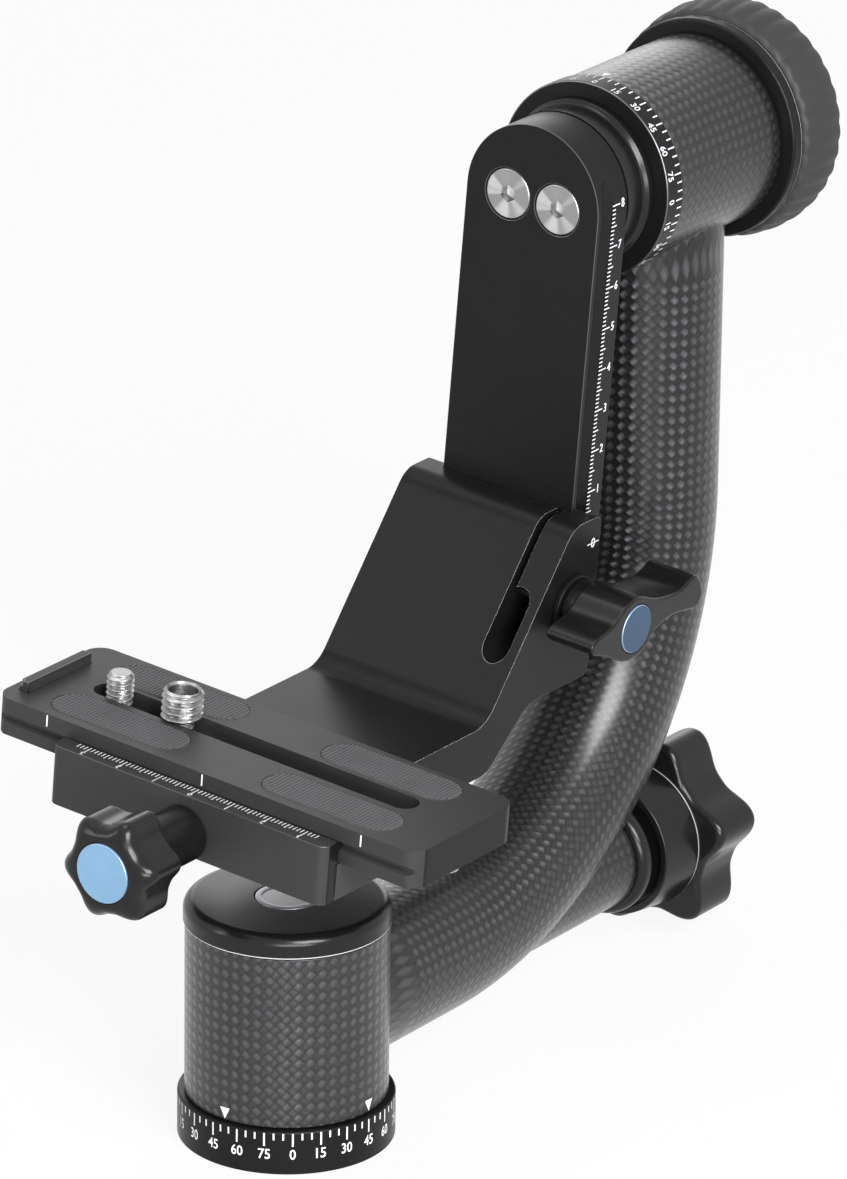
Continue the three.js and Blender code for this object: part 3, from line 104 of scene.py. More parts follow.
def colour(name, description, *value):
    return bpy.props.FloatVectorProperty(
        name=name, description=description, default=value, min=0, max=1, size=3, subtype="COLOR"
    )


class BaseSizes(bpy.types.PropertyGroup):
    """Scale ring, sleeve, cap and badge of the pan housing"""

    ring_radius: length("Ring radius", "Radius of the fixed scale ring", 24.58)
    ring_height: length("Ring height", "Height of the fixed scale ring", 10.4)
    bush_radius: length("Bush hole", "Radius of the hole for the tripod bush", 7.3)
    bush_depth: length("Bush depth", "Depth of the hole for the tripod bush", 8.9)
    sleeve_radius: length("Sleeve radius", "Outer radius of the carbon sleeve", 23)
    sleeve_wall: length("Sleeve wall", "Wall thickness of the carbon sleeve", 1.8)
    sleeve_bottom: length("Sleeve bottom", "Height of the sleeve's lower rim", 10.7)
    sleeve_top: length("Sleeve top", "Height of the sleeve's upper rim", 51.4)
    cap_radius: length("Cap radius", "Radius of the cap", 23.4)
    cap_top: length("Cap top", "Height of the cap's top face", 57)
    cap_round: length("Cap edge", "Radius of the cap's round top edge", 2.5)
    spigot_depth: length("Spigot depth", "Depth of the cap's spigot in the sleeve", 2.7)
    badge_radius: length("Badge radius", "Radius of the blank badge", 7.3)
    badge_rim: length("Badge rim", "Width of the badge's bright rim", 1.5)
    badge_depth: length("Badge depth", "Depth of the badge's seat", 1)
    long_tick: length("Long tick", "Length of a labelled scale mark", 3.1)
    short_tick: length("Short tick", "Length of a scale mark between labels", 1.6)
    digit_height: length("Digit height", "Height of the scale's digits", 2.45)
    digit_place: length("Digit place", "Height of the middle of the digits", 5.0)
    scale_start: angle("Scale start", "Direction of a zero of the scale", -50)
    pointer_tip: length("Pointer tip", "Height of the pointers' tips", 10.95)
    pointer_top: length("Pointer top", "Height of the pointers' upper edges", 13.7)


class ArmSizes(bpy.types.PropertyGroup):
    """Carbon arm, stub tube and ferrule"""

    radius: length("Arm radius", "Outer radius of the arm", 17.6)
    height: length("Arm height", "Height of the arm's root axis", 28.9)
    bend_start: length("Bend start", "Where the bend starts along the root", 50.7)
    bend_radius: length("Bend radius", "Radius of the bend's centreline", 86.6)
    flare: length("Flare", "Radius of the fillets at both ends", 0.8)
    cells: number("Weave cells", "Weave cells round the arm", 42)
    cell: length("Weave cell", "Width of a weave cell", 2.66)
    stub_radius: length("Stub radius", "Outer radius of the stub tube", 12.7)
    stub_wall: length("Stub wall", "Wall thickness of the stub tube", 1.8)
    stub_height: length("Stub height", "Height of the stub tube's axis", 26.5)
    stub_start: length("Stub start", "Where the stub tube starts, inside the arm", 62)
    stub_end: length("Stub end", "Where the stub tube ends", 119.5)
    ferrule_radius: length("Ferrule radius", "Radius of the ferrule", 14.7)
    ferrule_end: length("Ferrule end", "Where the ferrule ends", 124.6)
    ferrule_round: length("Ferrule edge", "Radius of the ferrule's edges", 1.9)
    bore: length("Bore", "Radius of the bore for the lock's screw", 4.3)


class LockSizes(bpy.types.PropertyGroup):
    """Lobed knob of the pan lock"""

    hub_front: length("Hub start", "Where the hub starts", 126.4)
    hub_front_radius: length("Hub start radius", "Radius of the hub at its start", 16.6)
    hub_back_radius: length("Hub end radius", "Radius of the hub at the lobes", 17.9)
    socket_radius: length("Socket radius", "Radius of the hub's front recess", 14.9)
    socket_depth: length("Socket depth", "Depth of the hub's front recess", 2)
    lobes_front: length("Lobes start", "Where the lobes start", 138.1)
    lobes_back: length("Lobes end", "Where the lobes end", 153.1)
    tip_radius: length("Tip radius", "Radius over the lobes", 24.6)
    valley_radius: length("Valley radius", "Radius between the lobes", 19.2)
    edge: length("Edge", "Radius of the lobes' edges", 1.7)
    cap_radius: length("Cap radius", "Radius of the blue cap", 8.6)
    lobes: number("Lobes", "Number of lobes", 6)
    phase: angle("Phase", "Direction of the first lobe", -78)


class TiltSizes(bpy.types.PropertyGroup):
    """Tilt housing, scale ring, axle and knob"""

    housing_radius: length("Housing radius", "Outer radius of the housing tube", 22.75)
    housing_front: length("Housing start", "Where the housing tube starts", 117.3)
    housing_back: length("Housing end", "Where the housing tube ends", 157.3)
    housing_wall: length("Housing wall", "Wall thickness of the housing tube", 1.85)
    ring_radius: length("Ring radius", "Radius of the tilting scale ring", 23.07)
    ring_front: length("Ring start", "Where the scale ring starts", 111)
    ring_back: length("Ring end", "Where the scale ring ends", 117)
    ring_bore: length("Ring bore", "Radius of the scale ring's bore", 12.3)
    hub_radius: length("Hub radius", "Radius of the axle's hub", 18.3)
    hub_front: length("Hub start", "Where the axle's hub starts", 102.3)
    flange_radius: length("Flange radius", "Radius of the axle's flange", 19.3)
    flange_back: length("Flange end", "Where the axle's flange ends", 110.7)
    axle_radius: length("Axle radius", "Radius of the axle in the ring", 12)
    shaft_radius: length("Shaft radius", "Radius of the axle's shaft", 8)
    shaft_end: length("Shaft end", "Where the axle's shaft ends", 167.2)
    long_tick: length("Long tick", "Length of a labelled scale mark", 2.4)
    short_tick: length("Short tick", "Length of a scale mark between labels", 1.7)
    digit_height: length("Digit height", "Height of the scale's digits", 1.95)
    digit_place: length("Digit place", "Middle of the digits along the axis", 112.6)
    scale_start: angle("Scale start", "Direction of the scale's zero", 3.16)
    pointer_tip: length("Pointer tip", "Place of the pointer's tip", 117.7)
    pointer_top: length("Pointer top", "Place of the pointer's straight edge", 120.15)
    knob_front: length("Knob start", "Where the tilt knob starts", 158)
    knob_radius: length("Knob radius", "Radius of the tilt knob's flange", 26)
    knob_flange: length("Knob flange", "Width of the tilt knob's flange", 3.3)
    knob_core: length("Knob core", "Radius of the core inside the grip", 21.6)
    knob_length: length("Knob length", "Length of the tilt knob", 18.3)
    knob_bore: length("Knob bore", "Radius of the knob's bore", 8.3)
    knob_bore_depth: length("Knob bore depth", "Depth of the knob's bore", 9.5)
    cap_radius: length("Cap radius", "Radius of the cap in the knob", 13)
    grip_front_radius: length("Grip start radius", "Grip radius at the flange", 26.9)
    grip_middle_radius: length("Grip radius", "Largest grip radius", 28.1)
    grip_back_radius: length("Grip end radius", "Grip radius at the end", 27.2)
    grip_length: length("Grip length", "Length of the grip", 14.6)
    rib_depth: length("Rib depth", "Depth of the grip's grooves", 0.42)
    ribs: number("Ribs", "Ribs round the grip", 36)


class PlateSizes(bpy.types.PropertyGroup):
    """Vertical slide plate and its screws"""

    front: length("Front", "Front face of the slide plate", 90.6)
    back: length("Back", "Back face of the slide plate", 102)
    half_width: length("Half width", "Half the width of the slide plate", 18.1)
    bottom: length("Bottom", "Lower end of the slide plate", 88.5)
    groove_start: length("Groove start", "Where the side groove starts behind the front", 1.2)
    groove_run: length("Groove run", "Run of a groove flank", 2.2)
    groove_flat: length("Groove floor", "Width of the groove's floor", 1)
    groove_depth: length("Groove depth", "Depth of the side groove", 2.4)
    bevel: length("Bevel", "Width of the bright edge", 0.2)
    screw_offset: length("Screw offset", "Distance of a screw from the middle", 6.8)
    screw_radius: length("Screw radius", "Radius of a screw's head", 5.9)
    screw_socket: length("Screw socket", "Radius of a screw's hexagon socket", 2.1)
    socket_depth: length("Socket depth", "Depth of a screw's socket", 2.4)
    shank_radius: length("Shank radius", "Radius of a screw's shank", 2.4)
    screw_hole: length("Screw hole", "Radius of a screw's hole", 2.7)
    scale_edge: length("Scale edge", "Where the scale's marks start", 96.3)
    scale_start: length("Scale start", "Height of the scale's zero", 118.5)
    digit_height: length("Digit height", "Height of the scale's digits", 2.1)
    digit_place: length("Digit place", "Middle of the digits across the plate's side", 100.3)


class BracketSizes(bpy.types.PropertyGroup):
    """L bracket, its slit and its wing knob"""

    half_width: length("Half width", "Half the width of the bracket", 23.7)
    bevel: length("Bevel", "Width of the bright edge", 0.38)
    slit_outer: length("Slit", "Distance of the slit's far side from the middle", 16.2)
    slit_width: length("Slit width", "Width of the slit", 2)
    relief_width: length("Relief width", "Width of the relief slot", 7)
    relief_bottom: length("Relief bottom", "Lower end of the relief slot", 96.7)
    relief_top: length("Relief top", "Upper end of the relief slot", 112)
    lock_x: length("Lock place", "Place of the lock's axis", 84.7)
    lock_z: length("Lock height", "Height of the lock's axis", 106)
    screw_hole: length("Screw hole", "Radius of the lock screw's hole", 3.3)
    screw_hole_end: length("Screw hole end", "Where the lock screw's hole ends", 5.6)
    knob_inner: length("Knob inner face", "Inner face of the wings", 28.9)
    knob_outer: length("Knob outer face", "Outer face of the wings", 41.9)
    neck_radius: length("Neck radius", "Radius of the knob's neck", 6.6)
    neck_inner: length("Neck start", "Where the knob's neck starts", 25.5)
    knob_edge: length("Knob edge", "Radius of the wings' edges", 0.7)
    washer_radius: length("Washer radius", "Radius of the washer", 7.4)
    washer_inner: length("Washer inner face", "Inner face of the washer", 24)
    washer_outer: length("Washer outer face", "Outer face of the washer", 25.2)
    cap_radius: length("Cap radius", "Radius of the blue cap", 5.7)


class ClampSizes(bpy.types.PropertyGroup):
    """Quick release clamp, moving jaw and clamp knob"""

    bottom: length("Bottom", "Lower face of the clamp", 73)
    seat: length("Seat", "Face that the lens plate slides on", 81.7)
    top: length("Top", "Top of both jaws", 87.24)
    half_length: length("Half length", "Half the length of the clamp", 38)
    back: length("Back", "Back face of the fixed jaw", 21.9)
    split: length("Split", "Front face of the clamp body", 20.8)
    jaw_inner: length("Jaw inner face", "Inner face of the moving jaw", 21.8)
    jaw_front: length("Jaw front", "Outer face of the moving jaw", 26)
    corner: length("Corner", "Radius of the jaw's corners", 2.5)
    bevel: length("Bevel", "Width of the bright edge", 0.25)
    axis_height: length("Screw height", "Height of the clamp screw", 78.4)
    screw_hole: length("Screw hole", "Radius of the clamp screw's hole", 2.8)
    pin_hole: length("Pin hole", "Radius of the holes for pins and mount screws", 2.3)
    screw_hole_end: length("Screw hole end", "Where its hole ends in the clamp body", 9.5)
    pin_hole_end: length("Pin hole end", "Where the pins' holes end in the clamp body", 11.7)
    jaw_hole_end: length("Jaw hole end", "Where the pins' holes end in the jaw", 24.7)
    mount_hole_top: length("Mount hole top", "Upper end of the mount screws' holes", 81.1)
    channel_half_width: length("Channel half width", "Half the seat channels' width", 3.3)
    channel_floor: length("Channel floor", "Height of the seat channels' floor", 79.3)
    jaw_ledge: length("Jaw ledge", "Height of the jaw's ledge under its hook", 82)
    pin_place: length("Pin place", "Distance of a guide pin from the middle", 26)
    pin_height: length("Pin height", "Height of the guide pins", 77.5)
    scale_edge: length("Scale edge", "Where the scale's marks start", 21.5)
    digit_height: length("Digit height", "Height of the scale's digits", 1.5)
    digit_place: length("Digit place", "Middle of the digits across the jaw", 24.9)
    neck_radius: length("Neck radius", "Radius of the knob's neck", 6.5)
    knob_neck: length("Neck start", "Where the knob's neck starts", 26.3)
    lobes_back: length("Lobes start", "Where the knob's lobes start", 43)
    lobes_front: length("Lobes end", "Where the knob's lobes end", 51.4)
    knob_face: length("Knob face", "Outer face of the knob", 55.4)
    tip_radius: length("Tip radius", "Radius over the lobes", 12.7)
    valley_radius: length("Valley radius", "Radius between the lobes", 10.4)
    nose_radius: length("Nose radius", "Radius of the knob's outer face", 7.9)
    cap_radius: length("Cap radius", "Radius of the blue cap", 6.9)
    lobes: number("Lobes", "Number of lobes", 6)
    phase: angle("Phase", "Direction of the first lobe", -78)


class LensPlateSizes(bpy.types.PropertyGroup):
    """Lens plate, pads, stop bar and camera screws"""

    centre: length("Centre", "Middle of the plate", -1.7)
    half_width: length("Half width", "Half the plate's width", 19)
    half_length: length("Half length", "Half the plate's length", 58.5)
    bottom: length("Bottom", "Lower face of the plate", 82)
    top: length("Top", "Upper face of the plate", 91)
    corner: length("Corner", "Radius of the plate's corners", 4.5)
    bevel: length("Bevel", "Width of the edges", 0.3)
    slot_x: length("Slot place", "Middle line of the slot", -0.8)
    slot_half_width: length("Slot half width", "Half the slot's width", 3.5)
    slot_low: length("Slot end", "Far end of the slot", -44)
    slot_high: length("Slot start", "Near end of the slot", 45)
    channel_half_width: length("Channel half width", "Half the channel's width under the slot", 6.2)
    channel_top: length("Channel top", "Height of the channel under the slot", 86.6)
    pad_half_width: length("Pad half width", "Half a pad's width", 5.75)
    pad_half_length: length("Pad half length", "Half a pad's length", 18)
    pad_front: length("Front pads", "Middle line of the front pads", -12.25)
    pad_back: length("Back pads", "Middle line of the back pads", 9.75)
    pad_y: length("Pad place", "Distance of a pad's middle from the plate's", 29.4)
    pad_top: length("Pad top", "Height of the pads' ribs", 91.2)
    pad_bottom: length("Pad bottom", "Height of the pads' undersides", 90)
    pad_seat: length("Pad seat", "Height of the pad seats' floors", 89.7)
    rib_pitch: length("Rib pitch", "Distance between the pads' ribs", 0.95)
    rib_height: length("Rib height", "Height of a rib on a pad", 0.28)
    mark_bottom: length("Mark bottom", "Lower end of the marks on the side", 87.9)
    head_slot: length("Head slot", "Width of the slot in a camera screw's head", 1.2)
    head_slot_depth: length("Head slot depth", "Depth of that slot", 1)
    neck_bottom: length("Neck bottom", "Lower end of the camera screws' threads", 84.9)
    bush_bottom: length("Bush bottom", "Lower end of the large screw's bush", 91.3)
    bush_bore: length("Bush bore", "Radius of the bush's bore", 3.4)
    core_radius: length("Core radius", "Radius of the large screw inside its bush", 3.1)
    core_top: length("Core top", "Top of the large screw inside its bush", 95)
    head_radius: length("Head radius", "Radius of the camera screws' heads", 5.5)
    head_bottom: length("Head bottom", "Lower face of the camera screws' heads", 82.4)
    head_top: length("Head top", "Upper face of the camera screws' heads", 85.2)
    small_y: length("Small screw place", "Place of the small screw", 38.5)
    large_y: length("Large screw place", "Place of the large screw", 21)
    small_radius: length("Small screw radius", "Radius of the small screw", 3.175)
    large_radius: length("Large screw radius", "Radius of the large screw's bush", 4.76)
    small_top: length("Small screw top", "Top of the small screw", 96.5)
    large_top: length("Large screw top", "Top of the large screw's bush", 98.2)
    small_pitch: length("Small thread", "Pitch of the small thread", 1.27)
    large_pitch: length("Large thread", "Pitch of the large thread", 1.5875)


class Finishes(bpy.types.PropertyGroup):
    """Colours and grain of the finishes"""

    black: colour("Black", "Black anodised alloy", 0.0065, 0.0065, 0.0068)
    matt_black: colour("Matt black", "Black anodised top of the lens plate", 0.025, 0.025, 0.0255)
    bright: colour("Bright edge", "Bare cut edges", 0.75, 0.75, 0.76)
    # A tow takes the tows' colour where the weave's painted sheen is full; elsewhere the colour
    # falls towards the gaps' colour
    carbon_dark: colour("Carbon gaps", "Resin between the tows", 0.004, 0.004, 0.0042)
    carbon_light: colour("Carbon tows", "Face of the tows", 0.06, 0.06, 0.0623)
    sleeve_dark: colour("Sleeve gaps", "Resin between the tows of the sleeve", 0.013, 0.013, 0.0135)
    sleeve_light: colour("Sleeve tows", "Face of the sleeve's tows", 0.09, 0.09, 0.093)
    rubber: colour("Rubber", "Grip and pads", 0.016, 0.016, 0.0165)
    # The caps share one blue: the wing knob's is a copy painted darker with shade, the round knobs'
    # a copy painted lighter with light
    blue: colour("Blue", "Blue anodised cap of the wing knob", 0.038, 0.073, 0.128)
    pale_blue: colour("Pale blue", "Blue anodised caps of the round knobs", 0.2, 0.36, 0.54)
    blue_rim: colour("Blue rim", "Cut rim of the blue caps", 0.3, 0.42, 0.58)
    steel: colour("Steel", "Stainless screws", 0.6, 0.6, 0.6)
    alloy: colour("Alloy", "Bare alloy inside", 0.5, 0.5, 0.51)
    print_colour: colour("Print", "Scales and marks", 0.85, 0.85, 0.86)
    nylon: colour("Nylon", "Washers and brake pads", 0.7, 0.68, 0.62)
    tow: length("Tow", "Width of a carbon tow", 1.88)


class StageSettings(bpy.types.PropertyGroup):
    """Camera, lights and floor"""

    lens: amount("Lens", "Focal length in millimetres on a 36 mm sensor", 267.17)
    sensor: amount("Sensor", "Sensor width in millimetres", 36)
    azimuth: angle("Azimuth", "Direction of the camera round the head", -54.4)
    elevation: angle("Elevation", "Height of the camera above the horizon", 21.18)
    roll: angle("Roll", "Turn of the camera about its view", 0.72)
    place: bpy.props.FloatVectorProperty(
        name="Camera place", description="Where the camera stands", size=3, subtype="TRANSLATION",
        default=(-1.44105, -1.06783, 0.82555),
    )
    floor_size: length("Floor", "Half the width of the floor", 6000)
    world_light: amount("World light", "Strength of the even light", 0.3)


# Shader helpers


class Value:
    """A shader socket that combines with numbers and other sockets."""

    def __init__(self, paint, socket):
        self.paint = paint
        self.socket = socket

    def __add__(self, other):
        return self.paint.math("ADD", self, other)

    def __sub__(self, other):
        return self.paint.math("SUBTRACT", self, other)

    def __rsub__(self, other):
        return self.paint.math("SUBTRACT", other, self)

    def __mul__(self, other):
        return self.paint.math("MULTIPLY", self, other)

    def __truediv__(self, other):
        return self.paint.math("DIVIDE", self, other)

    def __rtruediv__(self, other):
        return self.paint.math("DIVIDE", other, self)

    __radd__ = __add__
    __rmul__ = __mul__


class Paint:
    """The node tree of a material or a world, with short calls for its nodes."""

    def __init__(self, owner):
        owner.use_nodes = True
        self.owner = owner
        self.tree = owner.node_tree
        self.tree.nodes.clear()

    def node(self, kind, settings=None, sockets=None, output=0):
        """Adds a node, sets it up and returns one of its outputs."""
        made = self.tree.nodes.new(kind)
        for key, value in (settings or {}).items():
            setattr(made, key, value)
        for key, value in (sockets or {}).items():
            if isinstance(value, Value):
                self.tree.links.new(value.socket, made.inputs[key])
            else:
                made.inputs[key].default_value = value
        return Value(self, made.outputs[output]) if made.outputs else None

    def place(self):
        """The place on the piece, in metres."""
        return self.node("ShaderNodeTexCoord", output="Object")

    def math(self, operation, *values):
        return self.node("ShaderNodeMath", {"operation": operation}, dict(enumerate(values)))

    def vector(self, operation, *values, output="Vector"):
        sockets = dict(enumerate(values))
        return self.node("ShaderNodeVectorMath", {"operation": operation}, sockets, output)

    def mix(self, factor, low, high):
        """Colour between two tones."""
        sockets = {0: factor, 6: (*low, 1), 7: (*high, 1)}
        return self.node("ShaderNodeMix", {"data_type": "RGBA"}, sockets, 2)

    def noise(self, size, detail=2, place=None):
        """Noise whose grains are about the given size."""
        sockets = {"Vector": place or self.place(), "Scale": 1 / size, "Detail": detail}
        return self.node("ShaderNodeTexNoise", None, sockets)

    def range(self, value, low, high, to_low=0, to_high=1):
        """Eases from one range of values to another."""
        sockets = {0: value, 1: low, 2: high, 3: to_low, 4: to_high}
        return self.node("ShaderNodeMapRange", {"interpolation_type": "SMOOTHSTEP"}, sockets)

    def bump(self, height, depth):
        sockets = {"Height": height, "Distance": depth, "Strength": 1}
        return self.node("ShaderNodeBump", None, sockets)

    def surface(self, **sockets):
        """A material with a principled surface; the keywords are its sockets with _ for a space."""
        named = {key.replace("_", " "): value for key, value in sockets.items()}
        return self.finish(self.node("ShaderNodeBsdfPrincipled", None, named))

    def finish(self, surface, kind="Material"):
        self.node(f"ShaderNodeOutput{kind}", None, {"Surface": surface})
        return self.owner

    def white_to_camera(self, glow, share, surface):
        """The surface with plain white mixed in for the camera, reflections and glass."""
        rays = [self.node("ShaderNodeLightPath", output=name) for name in
                ("Is Camera Ray", "Is Glossy Ray", "Is Transmission Ray")]
        seen = self.math("MAXIMUM", self.math("MAXIMUM", *rays[:2]), rays[2])
        white = self.node(glow, None, {"Color": (1, 1, 1, 1), "Strength": 1})
        return self.node("ShaderNodeMixShader", None, {0: seen * share, 1: surface, 2: white})


def paint_for(name):
    return Paint(bpy.data.materials.new(name))


def shade(tone, factor):
    return tuple(channel * factor for channel in tone)


# Finishes


def blasted(name, tone, metallic, roughness, grain, depth=0.006 * MM, gloss=0.5):
    """Fine blasted metal with cloudy wear: the anodised and bare alloy parts."""
    paint = paint_for(name)
    cloud = paint.noise(14 * MM)
    fine = paint.noise(grain, 3)
    return paint.surface(
        Base_Color=paint.mix(cloud * 0.7 + fine * 0.3, shade(tone, 0.8), shade(tone, 1.2)),
        Metallic=metallic,
        Roughness=roughness - 0.08 + cloud * 0.08 + fine * 0.08,
        Specular_IOR_Level=gloss,
        Normal=paint.bump(fine, depth),
    )


def brushed(name, tone, roughness, centre=None, axis=ALONG_X):
    """Turned steel: fine rings round an axis with painted highlight and shade in sectors round it,
    or streaks across it where no centre is given.
    """
    paint = paint_for(name)
    if centre is None:
        lines = paint.noise(0.4 * MM, 2, paint.vector("MULTIPLY", paint.place(), (0.3, 1, 6)))
        cloud = paint.noise(3 * MM)
    else:
        arm = paint.vector("SUBTRACT", paint.place(), centre)
        along = paint.vector("DOT_PRODUCT", arm, axis, output="Value")
        far = paint.vector("LENGTH", arm, output="Value")
        ring = paint.math("SQRT", paint.math("MAXIMUM", far * far - along * along, 0))
        step = paint.node("ShaderNodeCombineXYZ", None, {0: ring, 1: along})
        lines = paint.noise(0.14 * MM, 1, step)
        # Painted highlight and shade: the turned face is painted brighter in some directions round
        # its axis and darker in others
        cloud = paint.range(paint.noise(0.62, 0, paint.vector("NORMALIZE", arm)), 0.46, 0.7)
    return paint.surface(
        Base_Color=paint.mix(lines * 0.3 + cloud * 0.7, shade(tone, 0.45), shade(tone, 1.15)),
        Metallic=1,
        Roughness=roughness + lines * 0.1,
        Normal=paint.bump(lines, 0.06 * MM),
    )


def woven(name, dark, light, width):
    """Glossy plain-weave carbon with its tows at 45 degrees and their sheen painted into the
    colour; the weave's UVs are in millimetres.
    """
    paint = paint_for(name)
    pitch = width / MM * math.sqrt(2)
    fibres_per_tow = 24
    uv = paint.node("ShaderNodeUVMap", {"uv_map": "weave"})
    wander = (paint.noise(5 * MM, 1) - 0.5) * 0.25
    around, along = (paint.node("ShaderNodeSeparateXYZ", None, {0: uv}, i) for i in (0, 1))
    first = (around + along) / pitch + wander
    second = (around - along) / pitch + wander
    parity = paint.math("PINGPONG", paint.math("FLOOR", first) + paint.math("FLOOR", second), 1)
    inside = [paint.math("FRACT", line) - 0.5 for line in (first, second)]
    lengthwise = inside[0] + (inside[1] - inside[0]) * parity
    crosswise = inside[1] + (inside[0] - inside[1]) * parity
    crown = paint.math("COSINE", lengthwise * math.pi) * (1 - crosswise * crosswise * 2.4)
    fibres = paint.math("SINE", crosswise * (2 * math.pi * fibres_per_tow)) * 0.045
    # Painted sheen: which set of tows is lit is read from the piece, not found from the lamps
    painted_light_side = paint.node("ShaderNodeAttribute", {"attribute_name": "sheen"}, output="Fac")
    painted_lit = paint.range(painted_light_side, -0.3, 0.3, 0.08, 0.92)
    # Painted highlight: a tow is painted brightest at its middle; one set is painted lit on one
    # side of the stored line, the other set on the other side
    tow_pattern_and_painted_sheen = paint.range(crown, -0.1, 1.05) * (painted_lit + parity - painted_lit * parity * 2)
    return paint.surface(
        Base_Color=paint.mix(tow_pattern_and_painted_sheen * (0.7 + paint.noise(9 * MM) * 0.5), dark, light),
        Metallic=tow_pattern_and_painted_sheen * 0.5 + 0.3,
        Roughness=0.4 - tow_pattern_and_painted_sheen * 0.12,
        Specular_IOR_Level=0.15,
        Normal=paint.bump(crown + fibres, 0.16 * MM),
        Coat_Weight=0.65 + paint.noise(2 * MM) * 0.1,
        Coat_Roughness=0.24,
    )


def moulded(name, tone, roughness, grain=0.3 * MM):
    """Matt rubber or plastic with a fine moulded grain."""
    paint = paint_for(name)
    fine = paint.noise(grain)
    cloud = paint.noise(7 * MM)
    return paint.surface(
        Base_Color=paint.mix(cloud * 0.6 + fine * 0.4, shade(tone, 0.75), shade(tone, 1.25)),
        Roughness=roughness - 0.05 + fine * 0.1,
        Normal=paint.bump(fine, 0.012 * MM),
    )


def ink(name, tone):
    """Thin print with a slightly uneven cover."""
    paint = paint_for(name)
    cover = paint.noise(0.5 * MM)
    return paint.surface(
        Base_Color=paint.mix(cover, shade(tone, 0.85), shade(tone, 1.05)),
        Roughness=0.5 + cover * 0.1,
        Normal=paint.bump(cover, 0.003 * MM),
    )


MATERIALS = {}


def finish(key):
    """The finish with that name, made when it is first asked for."""
    if key not in MATERIALS:
        tones = bpy.context.scene.gimbal_finishes
        # Each finish as its maker and what that takes after the name
        maker, *settings = {
            "black_anodised": (blasted, tones.black, 0, 0.32, 0.2 * MM, 0.003 * MM, 0.15),
            "gloss_black": (blasted, tones.black, 0, 0.22, 0.15 * MM, 0.002 * MM, 0.28),
            "matt_anodised": (blasted, tones.matt_black, 0, 0.5, 0.2 * MM, 0.006 * MM, 0.3),
            "bright_edge": (blasted, tones.bright, 0.2, 0.3, 0.1 * MM, 0.002 * MM),
            "dull_edge": (blasted, shade(tones.bright, 0.2), 1, 0.3, 0.1 * MM, 0.002 * MM),
            "bare_alloy": (blasted, tones.alloy, 1, 0.35, 0.2 * MM),
            # Painted shade and light: the wing knob's cap takes the darker copy of the blue, the
            # round knobs' caps the lighter copy
            "blue_anodised": (blasted, tones.blue, 0.4, 0.4, 0.15 * MM, 0.003 * MM, 0.3),
            "pale_blue": (blasted, tones.pale_blue, 0.4, 0.4, 0.15 * MM, 0.003 * MM, 0.3),
            "blue_rim": (blasted, tones.blue_rim, 0.8, 0.35, 0.15 * MM, 0.003 * MM),
            "carbon_weave": (woven, tones.carbon_dark, tones.carbon_light, tones.tow),
            "carbon_sleeve": (woven, tones.sleeve_dark, tones.sleeve_light, tones.tow),
            "ribbed_rubber": (moulded, tones.rubber, 0.6),
            "pad_rubber": (moulded, shade(tones.rubber, 4.2), 0.7, 0.2 * MM),
            "nylon": (moulded, tones.nylon, 0.5),
            "stainless": (brushed, tones.steel, 0.25),
            "bearing_steel": (brushed, tones.steel, 0.2),
            "print": (ink, tones.print_colour),
        }[key]
        MATERIALS[key] = maker(key, *settings)
    return MATERIALS[key]


# Geometry helpers


def linked(name, data):
    made = bpy.data.objects.new(name, data)
    bpy.context.scene.collection.objects.link(made)
    return made


def shown(name, vertices, faces, place=UPRIGHT, weave=None):
    """A mesh object; weave holds the UV corners of each face."""
    mesh = bpy.data.meshes.new(name)
    mesh.from_pydata([place @ Vector(v) for v in vertices], [], faces)
    if weave:
        layer = mesh.uv_layers.new(name="weave")
        corners = [corner for face in weave for corner in face]
        for item, corner in zip(layer.data, corners, strict=True):
            item.uv = corner
    edit = bmesh.new()
    edit.from_mesh(mesh)
    bmesh.ops.recalc_face_normals(edit, faces=edit.faces)
    edit.to_mesh(mesh)
    edit.free()
    return linked(name, mesh)


def settle(piece, finishes, body, slot, *nodes, crease=32):
    """Shades a finished piece, gives it its finishes and puts it on its body."""
    slots = piece.data.materials
    for index, key in enumerate(finishes):
        made = finish(key) if isinstance(key, str) else key
        if index < len(slots):
            slots[index] = made
        else:
            slots.append(made)
    piece.data.shade_smooth()
    piece.data.set_sharp_from_angle(angle=math.radians(crease))
    piece.modifiers.new("level", "WEIGHTED_NORMAL").keep_sharp = True
    apply_modifiers(piece)
    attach(piece, body)
    if nodes:
        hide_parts(*nodes)


def sheen(piece, axis_at):
    """Stores which set of tows is painted as catching the light, from the tube's axis at each
    vertex.
    """
    values = piece.data.attributes.new("sheen", "FLOAT", "POINT").data
    for vertex, value in zip(piece.data.vertices, values, strict=True):
        value.value = PAINTED_SHEEN_FACING.dot(axis_at(vertex.co).cross(vertex.normal))


def tint(piece, index, chosen):
    """Gives the faces whose centre is chosen the finish with that index."""
    for polygon in piece.data.polygons:
        if chosen(polygon.center):
            polygon.material_index = index


def paint_shade_on_ends(piece, index, reach):
    """Paints shade on the end faces: tints the faces that lie further than the reach from the
    cradle's middle plane.
    """
    back = CRADLE.inverted()
    tint(piece, index, lambda spot: abs((back @ spot).y) > reach - 0.1 * MM)


def apply_modifiers(piece):
    view = bpy.context.evaluated_depsgraph_get()
    made = bpy.data.meshes.new_from_object(piece.evaluated_get(view))
    piece.modifiers.clear()
    piece.data = made


